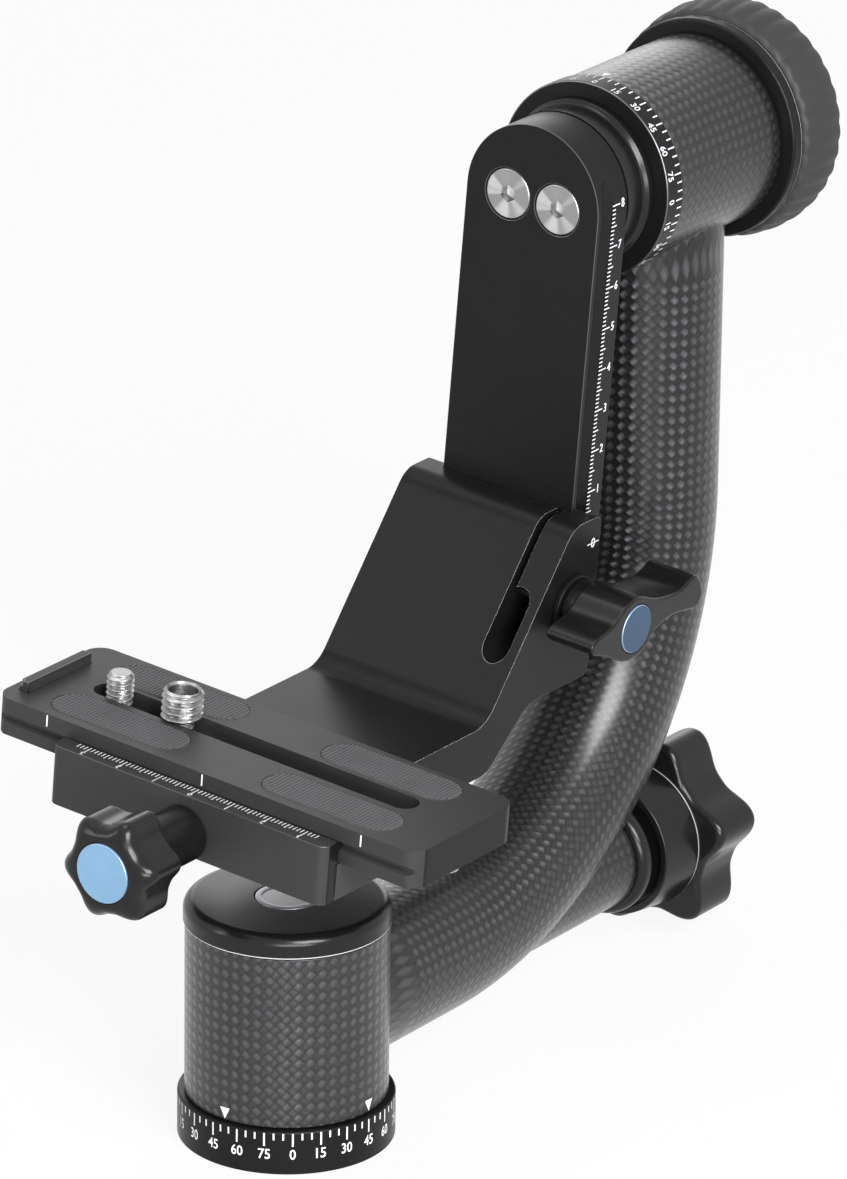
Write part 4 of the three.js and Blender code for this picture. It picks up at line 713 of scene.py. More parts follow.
def carve(piece, *tools):
    """Cuts the tools out of the piece."""
    for tool in tools:
        cut = piece.modifiers.new("cut", "BOOLEAN")
        cut.operation, cut.solver, cut.object = "DIFFERENCE", "EXACT", tool
    apply_modifiers(piece)
    for tool in tools:
        bpy.data.objects.remove(tool)
    edit = bmesh.new()
    edit.from_mesh(piece.data)
    bmesh.ops.remove_doubles(edit, verts=edit.verts, dist=0.002 * MM)
    bmesh.ops.dissolve_limit(
        edit, angle_limit=math.radians(0.3), verts=edit.verts, edges=edit.edges
    )
    edit.to_mesh(piece.data)
    edit.free()


def bevel(piece, width, finish_index=1, segments=2, limit=35):
    """Bevels the sharp edges; the new faces take the finish with that index."""
    edge = piece.modifiers.new("edge", "BEVEL")
    edge.width, edge.segments, edge.material = width, segments, finish_index
    edge.limit_method, edge.angle_limit = "ANGLE", math.radians(limit)
    while len(piece.data.materials) <= finish_index:
        piece.data.materials.append(None)
    apply_modifiers(piece)


def rounded(corners, closed=True, steps=ARC_STEPS, shortest=0):
    """Points of an outline whose (a, b, radius) corners are rounded by tangent arcs."""
    points = []
    last = len(corners) - 1
    for i, (a, b, radius) in enumerate(corners):
        corner = Vector((a, b))
        if not radius or (not closed and i in (0, last)):
            points.append(corner)
            continue
        before = (Vector(corners[i - 1][:2]) - corner).normalized()
        after = (Vector(corners[(i + 1) % len(corners)][:2]) - corner).normalized()
        half = before.angle(after) / 2
        reach = radius / math.tan(half)
        centre = corner + (before + after).normalized() * (reach / math.cos(half))
        start, end = corner + before * reach - centre, corner + after * reach - centre
        turn = math.atan2(start.x * end.y - start.y * end.x, start.dot(end))
        count = max(2, min(steps, int(abs(turn) * radius / shortest))) if shortest else steps
        points += [centre + Matrix.Rotation(turn * k / count, 2) @ start for k in range(count + 1)]
    return [tuple(point) for point in points]


def stadium(x, y, half_width, half_length, steps=16, shortest=0):
    """An outline with two straight sides and two round ends."""
    radius = half_width - 1e-6
    corners = [(x + a * half_width, y + b * half_length, radius) for a, b in CORNERS]
    return rounded(corners, steps=steps, shortest=shortest)


def quarter(steps):
    """Sine and cosine at even steps over a quarter turn."""
    turns = [math.pi / 2 * k / steps for k in range(steps + 1)]
    return [(math.sin(turn), math.cos(turn)) for turn in turns]


def turning(axis, centre):
    """Maps a radius, an angle and a station to a place round an axis."""
    a, b = centre
    return {
        "X": lambda r, t, h: (h, a - r * math.sin(t), b + r * math.cos(t)),
        "Y": lambda r, t, h: (a + r * math.cos(t), h, b + r * math.sin(t)),
        "Z": lambda r, t, h: (a + r * math.sin(t), b - r * math.cos(t), h),
    }[axis]


def lathe(name, profile, axis, centre, place=UPRIGHT, closed=False, segments=SEGMENTS):
    """Turns a profile of (radius, station) points about an axis, with UVs in millimetres."""
    at = turning(axis, centre)
    vertices, rows = [], []
    for radius, station in profile:
        ring = segments if radius > 1e-7 else 1
        rows.append([len(vertices) + k % ring for k in range(segments + 1)])
        vertices += [at(radius, 2 * math.pi * k / segments, station) for k in range(ring)]
    if closed:
        rows.append(rows[0])
    path = [0.0]
    for low, high in zip(profile, profile[1:] + profile[:1], strict=True):
        path.append(path[-1] + math.dist(low, high) / MM)
    widest = max(radius for radius, _ in profile) / MM
    cell = bpy.context.scene.gimbal_arm.cell / MM
    turn = round(2 * math.pi * widest / cell) * cell
    faces, weave = [], []
    for j in range(len(rows) - 1):
        for k in range(segments):
            face, corners = [], []
            for row, column in ((j, k), (j, k + 1), (j + 1, k + 1), (j + 1, k)):
                if rows[row][column] not in face:
                    face.append(rows[row][column])
                    corners.append((turn * column / segments, path[row]))
            if len(face) > 2:
                faces.append(face)
                weave.append(corners)
    return shown(name, vertices, faces, place, weave)


def turned(name, corners, axis="Z", centre=(0, 0), place=UPRIGHT, closed=True, steps=ARC_STEPS):
    """Turns an outline of (radius, station, corner radius) about an axis."""
    return lathe(name, rounded(corners, closed, steps), axis, centre, place, closed)


def prism(name, outline, low, high, plane, place=CRADLE):
    """Pushes an outline drawn in a plane along the third axis."""
    at = {
        "XY": lambda a, b, c: (a, b, c),
        "XZ": lambda a, b, c: (a, c, b),
        "YZ": lambda a, b, c: (c, a, b),
    }[plane]
    count = len(outline)
    vertices = [at(a, b, c) for c in (low, high) for a, b in outline]
    return shown(name, vertices, end_faces(2, count) + ring_faces(2, count), place)


def metres(corners):
    """Corners given in millimetres."""
    return [[value * MM for value in corner] for corner in corners]


def block(name, low, high):
    """A box in the cradle between two corners."""
    corners = [(low[0], low[1]), (high[0], low[1]), (high[0], high[1]), (low[0], high[1])]
    return prism(name, corners, low[2], high[2], "XY")


def rod(name, radius, low, high, axis, centre, place=CRADLE):
    profile = [(0, low), (radius, low), (radius, high), (0, high)]
    return lathe(name, profile, axis, centre, place, segments=64)


def ring_faces(rings, count, looped=False):
    """Quads between rings of vertices, and back to the first ring where looped."""
    faces = []
    for low in range(rings if looped else rings - 1):
        a, b = low * count, (low + 1) % rings * count
        for k in range(count):
            after = (k + 1) % count
            faces.append([a + k, a + after, b + after, b + k])
    return faces


def end_faces(rings, count):
    """The first and the last ring as faces."""
    return [list(range(count)), list(range((rings - 1) * count, rings * count))]


def lobed(name, stations, lobes, phase, centre, place, sharpness=1.4, per_lobe=40):
    """A body through lobed rings; a station is (place along X, tip radius, valley radius)."""
    at = turning("X", centre)
    count = lobes * per_lobe
    vertices = []
    for station, tip, valley in stations:
        for k in range(count):
            turn = 2 * math.pi * k / count
            wave = (0.5 + 0.5 * math.cos(lobes * turn)) ** sharpness
            vertices.append(at(valley + (tip - valley) * wave, -turn - phase, station))
    rings = len(stations)
    return shown(name, vertices, end_faces(rings, count) + ring_faces(rings, count), place)


def rim(station, inward, radius, tip, valley):
    """Stations of a rounded rim that starts flat at its face."""
    return [
        (station + inward * radius * (1 - c), tip - radius * (1 - s), valley - radius * (1 - s))
        for s, c in quarter(5)
    ]


def cap_in(knob, name, radius, face, depth, height, axis, centre, place, gap=0.25 * MM):
    """Sinks a seat into the knob's face and fills it with a blank, bright-rimmed cap.

    A negative height says that the face looks back along the axis.
    """
    out = math.copysign(1, height)
    seat = face - out * depth
    low, high = sorted((seat, face + out * PAST))
    carve(knob, rod("seat", radius + gap, low, high, axis, centre, place))
    return cap_disc(name, radius, seat, height, axis, centre, place)


def cap_disc(name, radius, seat, height, axis, centre, place):
    """A disc with a bright rim, from its seat outwards."""
    top = seat + height
    edge = 0.25 * MM
    corners = [(0, seat, 0), (radius, seat, 0), (radius, top, edge), (0, top, 0)]
    disc = turned(name, corners, axis, centre, place, False)
    back = place.inverted()
    index, out = "XYZ".index(axis), math.copysign(1, height)
    least = 0.01 * MM
    tint(disc, 1, lambda spot: least < (top - (back @ spot)[index]) * out < edge)
    return disc


# Prints: flat shapes in (across, up) that are laid on a surface


def box_print(left, right, low, high):
    return [(left, low), (right, low), (right, high), (left, high)], [(0, 1, 2, 3)]


def tick(across, low, high, width):
    return box_print(across - width / 2, across + width / 2, low, high)


def pointer(across, tip, top, half):
    """A triangle on its tip, cut into slices that follow a round surface."""
    steps = 6
    spots = [(across + half * (2 * k / steps - 1), top) for k in range(steps + 1)]
    return [(across, tip), *spots], [(0, k + 2, k + 1) for k in range(steps)]


def digits(text, height, across, up, narrow=0.88):
    """The outline of a number as a flat mesh, centred on a place."""
    curve = bpy.data.curves.new("digits", "FONT")
    curve.body, curve.offset, curve.resolution_u = text, 0.011, 3
    made = linked("digits", curve)
    view = bpy.context.evaluated_depsgraph_get()
    mesh = bpy.data.meshes.new_from_object(made.evaluated_get(view))
    spots = [v.co.to_2d() for v in mesh.vertices]
    faces = [tuple(polygon.vertices) for polygon in mesh.polygons]
    low, high = (Vector(map(f, zip(*spots, strict=True))) for f in (min, max))
    size = height / (high.y - low.y)
    squeeze = Vector((size * narrow, size))
    placed = [(spot - (low + high) / 2) * squeeze + Vector((across, up)) for spot in spots]
    bpy.data.objects.remove(made)
    bpy.data.meshes.remove(mesh)
    return [tuple(spot) for spot in placed], faces


def dial(s, top, width):
    """Marks every 5 degrees round a ring, and numbers from 0 to 75 at every third mark."""
    shapes = []
    for k in range(72):
        across = s.ring_radius * (s.scale_start + math.radians(5 * k))
        shapes.append(tick(across, top - (s.short_tick if k % 3 else s.long_tick), top, width))
        if k % 3 == 0:
            shapes.append(digits(str(15 * (k // 3 % 6)), s.digit_height, across, s.digit_place))
    return shapes


def round_tube(radius, axis, centre):
    """Lays prints round a tube, with across as the length round it."""
    at = turning(axis, centre)
    return lambda across, up: at(radius + PRINT_LIFT, across / radius, up)


def printed(name, shapes, at, body, place=UPRIGHT):
    """One print of several flat shapes, laid on a surface by a mapping."""
    vertices, faces = [], []
    for spots, flats in shapes:
        faces += [[len(vertices) + i for i in flat] for flat in flats]
        vertices += [at(*spot) for spot in spots]
    mesh = bpy.data.meshes.new(name)
    mesh.from_pydata([place @ Vector(v) for v in vertices], [], faces)
    mesh.materials.append(finish("print"))
    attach(linked(name, mesh), body)


# Pieces


class PieceOperator(bpy.types.Operator):
    """Base of the operators, so that each can be undone"""

    bl_options = {"REGISTER", "UNDO"}


class AddBase(PieceOperator):
    """Builds the scale ring, sleeve, cap and badge of the pan housing"""

    bl_idname = "gimbal.add_base"
    bl_label = "Pan housing"

    def execute(self, context):
        s = context.scene.gimbal_base
        ring = turned("scale_ring", [
            (0, s.bush_depth, 0), (s.bush_radius, s.bush_depth, 0), (s.bush_radius, 0, 0.3 * MM),
            (s.ring_radius, 0, 0.4 * MM), (s.ring_radius, s.ring_height, 0.5 * MM),
            (0, s.ring_height, 0),
        ], closed=False)
        settle(ring, ["black_anodised"], "base", "black_anodised", "base_scale_ring")
        inner = s.sleeve_radius - s.sleeve_wall
        edge = 0.2 * MM
        sleeve = turned("sleeve", [
            (inner, s.sleeve_bottom, 0), (s.sleeve_radius, s.sleeve_bottom, edge),
            (s.sleeve_radius, s.sleeve_top, edge), (inner, s.sleeve_top, 0),
        ])
        sheen(sleeve, lambda spot: ALONG_Z)
        settle(sleeve, ["carbon_sleeve"], "yoke", "carbon_weave", "pan_sleeve")
        self.build_cap(s, inner - FIT)
        scale = dial(s, s.ring_height - 0.35 * MM, 0.38 * MM)
        printed("pan_scale", scale, round_tube(s.ring_radius, "Z", (0, 0)), "base")
        pointers = [
            pointer(s.sleeve_radius * math.radians(turn), s.pointer_tip, s.pointer_top, 1.3 * MM)
            for turn in (-90, -0.5)
        ]
        printed("pan_pointers", pointers, round_tube(s.sleeve_radius, "Z", (0, 0)), "yoke")
        return {"FINISHED"}

    def build_cap(self, s, spigot):
        bottom = s.sleeve_top + FIT
        spigot_bottom = bottom - s.spigot_depth
        seat = s.badge_radius + FIT
        floor = s.cap_top - s.badge_depth
        edge = 0.3 * MM
        cap = turned("housing_cap", [
            (0, spigot_bottom, 0), (spigot, spigot_bottom, 0), (spigot, bottom, 0),
            (s.cap_radius, bottom, edge), (s.cap_radius, s.cap_top, s.cap_round),
            (seat, s.cap_top, 0.2 * MM), (seat, floor, 0), (0, floor, 0),
        ], closed=False, steps=10)
        tint(cap, 1, lambda spot: (
            bottom <= spot.z < bottom + edge and spot.to_2d().length > s.sleeve_radius))
        settle(cap, ["gloss_black", "bright_edge"], "yoke", "black_anodised", "base_cap")
        top = s.cap_top + 0.1 * MM
        face = s.badge_radius - s.badge_rim
        sunk = top - 0.2 * MM
        badge = turned("badge", [
            (0, floor, 0), (s.badge_radius, floor, 0), (s.badge_radius, top, 0.25 * MM),
            (face, top, 0.1 * MM), (face, sunk, 0), (0, sunk, 0),
        ], closed=False)
        settle(badge, ["bare_alloy"], "yoke", "bare_alloy", "base_cap_badge")


class AddArm(PieceOperator):
    """Builds the carbon arm, the stub tube and its ferrule"""

    bl_idname = "gimbal.add_arm"
    bl_label = "Arm"

    def execute(self, context):
        scene = context.scene
        s = scene.gimbal_arm
        count = s.cells * 4
        sunk = 0.2 * MM
        sleeve, housing = scene.gimbal_base.sleeve_radius, scene.gimbal_tilt.housing_radius
        rows = self.stations(s, sleeve - sunk, housing - sunk)
        vertices = [at(2 * math.pi * k / count) for at, _ in rows for k in range(count)]
        around = s.cells * s.cell / MM / count
        weave = []
        for (_, low), (_, high) in zip(rows, rows[1:]):
            low, high = low / MM, high / MM
            for left, right in ((k * around, (k + 1) * around) for k in range(count)):
                weave.append([(left, low), (right, low), (right, high), (left, high)])
        arm = shown("arm", vertices, ring_faces(len(rows), count), weave=weave)
        sheen(arm, lambda spot: self.axis_at(s, spot))
        settle(arm, ["carbon_weave"], "yoke", "carbon_weave", "carbon_arm")
        self.build_stub(s)
        return {"FINISHED"}

    def build_stub(self, s):
        centre = (0, s.stub_height)
        inner = s.stub_radius - s.stub_wall
        steps = 12
        run = [s.stub_start + (s.stub_end - s.stub_start) * k / steps for k in range(steps + 1)]
        profile = [(s.stub_radius, x) for x in run] + [(inner, s.stub_end), (inner, s.stub_start)]
        stub = lathe("stub", profile, "X", centre, closed=True)
        sheen(stub, lambda spot: ALONG_X)
        settle(stub, ["carbon_weave"], "yoke", "carbon_weave", "stub_tube")
        front = s.stub_end + FIT
        spigot, spigot_front = inner - FIT, front - 1 * MM
        ferrule = turned("ferrule", [
            (s.bore, spigot_front, 0), (spigot, spigot_front, 0), (spigot, front, 0),
            (s.ferrule_radius, front, s.ferrule_round),
            (s.ferrule_radius, s.ferrule_end, s.ferrule_round), (s.bore, s.ferrule_end, 0.3 * MM),
        ], "X", centre)
        settle(ferrule, ["gloss_black"], "yoke", "black_anodised", "stub_ferrule")

    def axis_at(self, s, spot):
        """The direction of the arm's centreline beside a place."""
        ahead, below = spot.x - s.bend_start, s.height + s.bend_radius - spot.z
        bent = math.atan2(ahead, max(0, below)) if ahead > 0 else 0
        return Vector((math.cos(bent), 0, math.sin(bent)))

    def stations(self, s, sleeve, housing):
        """Rings of the arm as (place for an angle, run along the arm)."""
        rows = []
        ease = 3 * MM
        saddle_steps, root_steps, bend_steps, upright_steps = 4, 8, 72, 16

        def saddle(tube, y):
            return math.sqrt(tube**2 - y**2)

        def root(grow, level):
            def at(turn):
                reach = s.radius + grow
                y = -reach * math.sin(turn)
                return level(y), y, s.height + reach * math.cos(turn)
            return at

        def upright(grow, level):
            def at(turn):
                reach = s.radius + grow
                y = -reach * math.sin(turn)
                return s.bend_start + s.bend_radius - reach * math.cos(turn), y, level(y)
            return at

        def bend(bent):
            def at(turn):
                out = s.bend_radius - s.radius * math.cos(turn)
                z = s.height + s.bend_radius - out * math.cos(bent)
                return s.bend_start + out * math.sin(bent), -s.radius * math.sin(turn), z
            return at

        fillet = [(s.flare * (1 - cosine), s.flare * (1 - sine)) for sine, cosine in quarter(6)]
        edge = sleeve + s.flare
        plane = edge + ease
        for rise, grow in fillet:
            rows.append((root(grow, lambda y, r=rise: saddle(sleeve, y) + r), sleeve + rise))
        for w in parts(saddle_steps):
            rows.append((
                root(0, lambda y, w=w: (saddle(sleeve, y) + s.flare) * (1 - w) + plane * w),
                edge + (plane - edge) * w,
            ))
        for w in parts(root_steps):
            x = plane + (s.bend_start - plane) * w
            rows.append((root(0, lambda y, x=x: x), x))
        for w in parts(bend_steps):
            bent = math.pi / 2 * w
            rows.append((bend(bent), s.bend_start + s.bend_radius * bent))
        run = s.bend_start + s.bend_radius * math.pi / 2
        start = s.height + s.bend_radius
        end = TILT_HEIGHT - housing - s.flare - ease
        for w in parts(upright_steps):
            z = start + (end - start) * w
            rows.append((upright(0, lambda y, z=z: z), run + z - start))
        run += end - start
        for w in parts(saddle_steps):
            rows.append((
                upright(0, lambda y, w=w: (
                    end * (1 - w) + (TILT_HEIGHT - saddle(housing, y) - s.flare) * w)),
                run + ease * w,
            ))
        for rise, grow in reversed(fillet):
            rows.append((
                upright(grow, lambda y, r=rise: TILT_HEIGHT - saddle(housing, y) - r),
                run + ease + s.flare - rise,
            ))
        return rows


def parts(steps):
    """The ends of even parts of a whole."""
    return [k / steps for k in range(1, steps + 1)]


class AddPanLock(PieceOperator):
    """Builds the lobed knob of the pan lock and its cap"""

    bl_idname = "gimbal.add_pan_lock"
    bl_label = "Pan lock knob"

    def execute(self, context):
        s, arm = context.scene.gimbal_lock, context.scene.gimbal_arm
        centre = (0, arm.stub_height)
        socket = s.hub_front + s.socket_depth
        behind = s.lobes_front + 1 * MM
        hub = turned("pan_hub", [
            (arm.bore, socket, 0), (s.socket_radius, socket, 0),
            (s.socket_radius, s.hub_front, 0.3 * MM), (s.hub_front_radius, s.hub_front, 0.4 * MM),
            (s.hub_back_radius, s.lobes_front - FIT, 0.3 * MM),
            (s.hub_back_radius - FIT, behind, 0), (arm.bore, behind, 0),
        ], "X", centre)
        tint(hub, 1, lambda spot: (
            spot.x > s.lobes_front - 0.65 * MM
            and from_axis(spot, centre[1]) > s.hub_back_radius - 0.4 * MM))
        settle(hub, ["gloss_black", "bright_edge"], "pan_lock", "black_anodised")
        ends = [rim(x, way, s.edge, s.tip_radius, s.valley_radius) for x, way in
                ((s.lobes_front, 1), (s.lobes_back, -1))]
        knob = lobed("pan_knob", ends[0] + ends[1][::-1], s.lobes, s.phase, centre, UPRIGHT)
        around = ("X", centre, UPRIGHT)
        cap = cap_in(knob, "pan_cap", s.cap_radius, s.lobes_back, 1 * MM, 1.4 * MM, *around, FIT)
        settle(knob, ["gloss_black"], "pan_lock", "black_anodised", "pan_lock_knob")
        settle(cap, ["pale_blue", "blue_rim"], "pan_lock", "blue_anodised", "pan_lock_cap")
        return {"FINISHED"}


def from_axis(spot, height=TILT_HEIGHT):
    """Distance from an axis along X at that height."""
    return math.hypot(spot.y, spot.z - height)


class AddTiltAxis(PieceOperator):
    """Builds the tilt housing, its scale ring, the axle and the tilt knob"""

    bl_idname = "gimbal.add_tilt_axis"
    bl_label = "Tilt axis"

    def execute(self, context):
        s = context.scene.gimbal_tilt
        centre = (0, TILT_HEIGHT)
        inner = s.housing_radius - s.housing_wall
        edge = 0.25 * MM
        housing = turned("tilt_tube", [
            (inner, s.housing_front, 0), (s.housing_radius, s.housing_front, edge),
            (s.housing_radius, s.housing_back, edge), (inner, s.housing_back, 0),
        ], "X", centre)
        sheen(housing, lambda spot: ALONG_X)
        settle(housing, ["carbon_weave"], "yoke", "carbon_weave", "tilt_housing")
        mark = pointer(-0.26 * MM, s.pointer_tip, s.pointer_top, 1.1 * MM)
        printed("tilt_pointer", [mark], round_tube(s.housing_radius, "X", centre), "yoke")
        self.build_ring(s, centre)
        self.build_axle(s, centre)
        self.build_knob(s, centre)
        return {"FINISHED"}

    def build_ring(self, s, centre):
        ring = turned("tilt_ring", [
            (s.ring_bore, s.ring_front, 0), (s.ring_radius, s.ring_front, 0.35 * MM),
            (s.ring_radius, s.ring_back, 0.2 * MM), (s.ring_bore, s.ring_back, 0),
        ], "X", centre, CRADLE, steps=4)
        back_edge, front_edge, front_rim = 0.22 * MM, 0.2 * MM, 0.34 * MM
        tint(ring, 1, lambda spot: (
            spot.x > s.ring_back - back_edge and from_axis(spot) > s.ring_radius - back_edge))
        tint(ring, 1, lambda spot: (
            s.ring_front < spot.x < s.ring_front + front_edge
            and from_axis(spot) > s.ring_radius - front_rim))
        settle(ring, ["black_anodised", "dull_edge"], "cradle", "black_anodised", "tilt_scale_ring")
        scale = dial(s, s.ring_back - 0.4 * MM, 0.32 * MM)
        printed("tilt_scale", scale, round_tube(s.ring_radius, "X", centre), "cradle")

    def build_axle(self, s, centre):
        waist = s.flange_back - 2.6 * MM
        shoulder = s.ring_back - FIT
        axle = turned("axle", [
            (0, s.hub_front, 0), (s.hub_radius, s.hub_front, 0), (s.hub_radius, waist, 1.2 * MM),
            (s.flange_radius, waist + 1 * MM, 0.3 * MM), (s.flange_radius, s.flange_back, 0.4 * MM),
            (s.axle_radius, s.flange_back, 0), (s.axle_radius, shoulder, 0),
            (s.shaft_radius, shoulder, 0), (s.shaft_radius, s.shaft_end, 0), (0, s.shaft_end, 0),
        ], "X", centre, CRADLE, False)
        reach = s.axle_radius + 0.1 * MM
        tint(axle, 1, lambda spot: from_axis(spot) < reach and spot.x > s.ring_front)
        settle(axle, ["gloss_black", "stainless"], "cradle", "stainless", "tilt_axle")

    def build_knob(self, s, centre):
        front, back = s.knob_front, s.knob_front + s.knob_length
        flange = front + s.knob_flange
        bore_end = front + s.knob_bore_depth
        seat = back - 1 * MM
        recess = s.cap_radius + FIT
        edge = 0.3 * MM
        core = turned("tilt_knob", [
            (0, bore_end, 0), (s.knob_bore, bore_end, 0), (s.knob_bore, front, 0.2 * MM),
            (s.knob_radius, front, 0.7 * MM), (s.knob_radius, flange, edge),
            (s.knob_core, flange, 0), (s.knob_core, back, 0.4 * MM), (recess, back, 0.2 * MM),
            (recess, seat, 0), (0, seat, 0),
        ], "X", centre, closed=False)
        tint(core, 1, lambda spot: (
            flange - edge < spot.x < flange and from_axis(spot) > s.knob_radius - edge))
        finishes = ["black_anodised", "bright_edge"]
        settle(core, finishes, "tilt_lock", "black_anodised", "tilt_knob_core")
        low = flange + FIT
        high = low + s.grip_length
        widest_at, end_radius, end_drop, steps = 0.6, 1.6 * MM, 1.4 * MM, 24
        rows = []
        for k in range(steps + 1):
            w = k / steps
            x = low + s.grip_length * w
            if w < widest_at:
                end = s.grip_front_radius
                bulge = math.sin(math.pi / 2 * w / widest_at)
            else:
                end = s.grip_back_radius
                bulge = math.cos(math.pi / 2 * (w - widest_at) / (1 - widest_at))
            level = math.sqrt(max(0, 1 - max(0, 1 - min(x - low, high - x) / end_radius) ** 2))
            swell = end + (s.grip_middle_radius - end) * bulge - end_drop * (1 - level)
            rows.append((x, swell, swell - s.rib_depth * level))
        grip = lobed("tilt_grip", rows, s.ribs, 0, centre, UPRIGHT, sharpness=0.6, per_lobe=14)
        bore = rod("bore", s.knob_core + 0.2 * MM, low - PAST, high + PAST, "X", centre, UPRIGHT)
        carve(grip, bore)
        settle(grip, ["ribbed_rubber"], "tilt_lock", "ribbed_rubber", "tilt_knob_grip", crease=40)
        cap = cap_disc("tilt_cap", s.cap_radius, seat, 1.6 * MM, "X", centre, UPRIGHT)
        settle(cap, finishes, "tilt_lock", "black_anodised", "tilt_knob_cap")


class AddSlidePlate(PieceOperator):
    """Builds the vertical slide plate, its scale and its two screws"""

    bl_idname = "gimbal.add_slide_plate"
    bl_label = "Slide plate"

    def execute(self, context):
        s = context.scene.gimbal_plate
        half = s.half_width
        steps = 48
        turns = [math.pi * k / steps for k in range(steps + 1)]
        arc = [(half * math.cos(turn), TILT_HEIGHT + half * math.sin(turn)) for turn in turns]
        plate = prism("plate", arc + [(-half, s.bottom), (half, s.bottom)], s.front, s.back, "YZ")
        mouth = half + PAST
        floor = half - s.groove_depth
        spread = s.groove_run / s.groove_depth * PAST
        flat = s.front + s.groove_start + s.groove_run
        far = flat + s.groove_flat
        tools = []
        for side in (1, -1):
            tools.append(prism("groove", [
                (flat - s.groove_run - spread, side * mouth), (flat, side * floor),
                (far, side * floor), (far + s.groove_run + spread, side * mouth),
            ], s.bottom - PAST, TILT_HEIGHT + half + PAST, "XY"))
            head = s.screw_radius + 0.25 * MM
            tools.append(lathe("hole", [
                (0, s.front - PAST), (head, s.front - PAST), (head, s.front + 0.4 * MM),
                (s.screw_hole, s.front + 3.2 * MM), (s.screw_hole, s.back + PAST),
                (0, s.back + PAST),
            ], "X", (side * s.screw_offset, TILT_HEIGHT), CRADLE, segments=96))
        carve(plate, *tools)
        bevel(plate, s.bevel, limit=60)
        tint(plate, 0, lambda spot: s.front + 0.5 * MM < spot.x < s.back - 0.4 * MM)
        settle(plate, ["black_anodised", "dull_edge"], "cradle", "black_anodised", "slide_plate")
        for side, word in ((1, "left"), (-1, "right")):
            self.build_screw(s, (side * s.screw_offset, TILT_HEIGHT), word)
        self.print_scale(s)
        return {"FINISHED"}

    def build_screw(self, s, centre, word):
        face = s.front + 0.1 * MM
        cone, tip = face + 3.1 * MM, face + 17.3 * MM
        screw = turned(f"plate_screw_head_{word}", [
            (0, face, 0), (s.screw_radius, face, 0.35 * MM), (s.screw_radius, face + 0.5 * MM, 0),
            (s.shank_radius, cone, 0), (s.shank_radius, tip, 0), (0, tip, 0),
        ], "X", centre, CRADLE, False)
        floor = face + s.socket_depth
        carve(screw, lathe("socket", [
            (0, face - PAST), (s.screw_socket, face - PAST), (s.screw_socket, floor),
            (0, floor + 0.6 * MM),
        ], "X", centre, CRADLE, segments=6))
        axis = CRADLE @ Vector((face, *centre))
        tone = bpy.context.scene.gimbal_finishes.steel
        # Its colour has painted highlight and shade in sectors round the screw's axis
        steel = brushed(f"screw_steel_{word}", tone, 0.3, axis)
        tint(screw, 1, lambda spot: (
            -0.2 * MM < spot.x - floor < 0.8 * MM and (spot - axis).yz.length < s.screw_socket))
        settle(screw, [steel, "bright_edge"], "cradle", "stainless", f"plate_screw_{word}")

    def print_scale(self, s):
        def on_side(across, up):
            rise = max(0, up - TILT_HEIGHT)
            return across, -math.sqrt(s.half_width**2 - rise**2) - PRINT_LIFT, up

        shapes = []
        half = 0.14 * MM
        for k in range(81):
            up = s.scale_start + k * MM
            reach = (1.2 if k % 5 else 2 if k % 10 else 2.9) * MM
            shapes.append(box_print(s.scale_edge, s.scale_edge + reach, up - half, up + half))
            if k % 10 == 0 and k:
                shapes.append(digits(str(k // 10), s.digit_height, s.digit_place, up))
        printed("height_scale", shapes, on_side, "cradle", CRADLE)


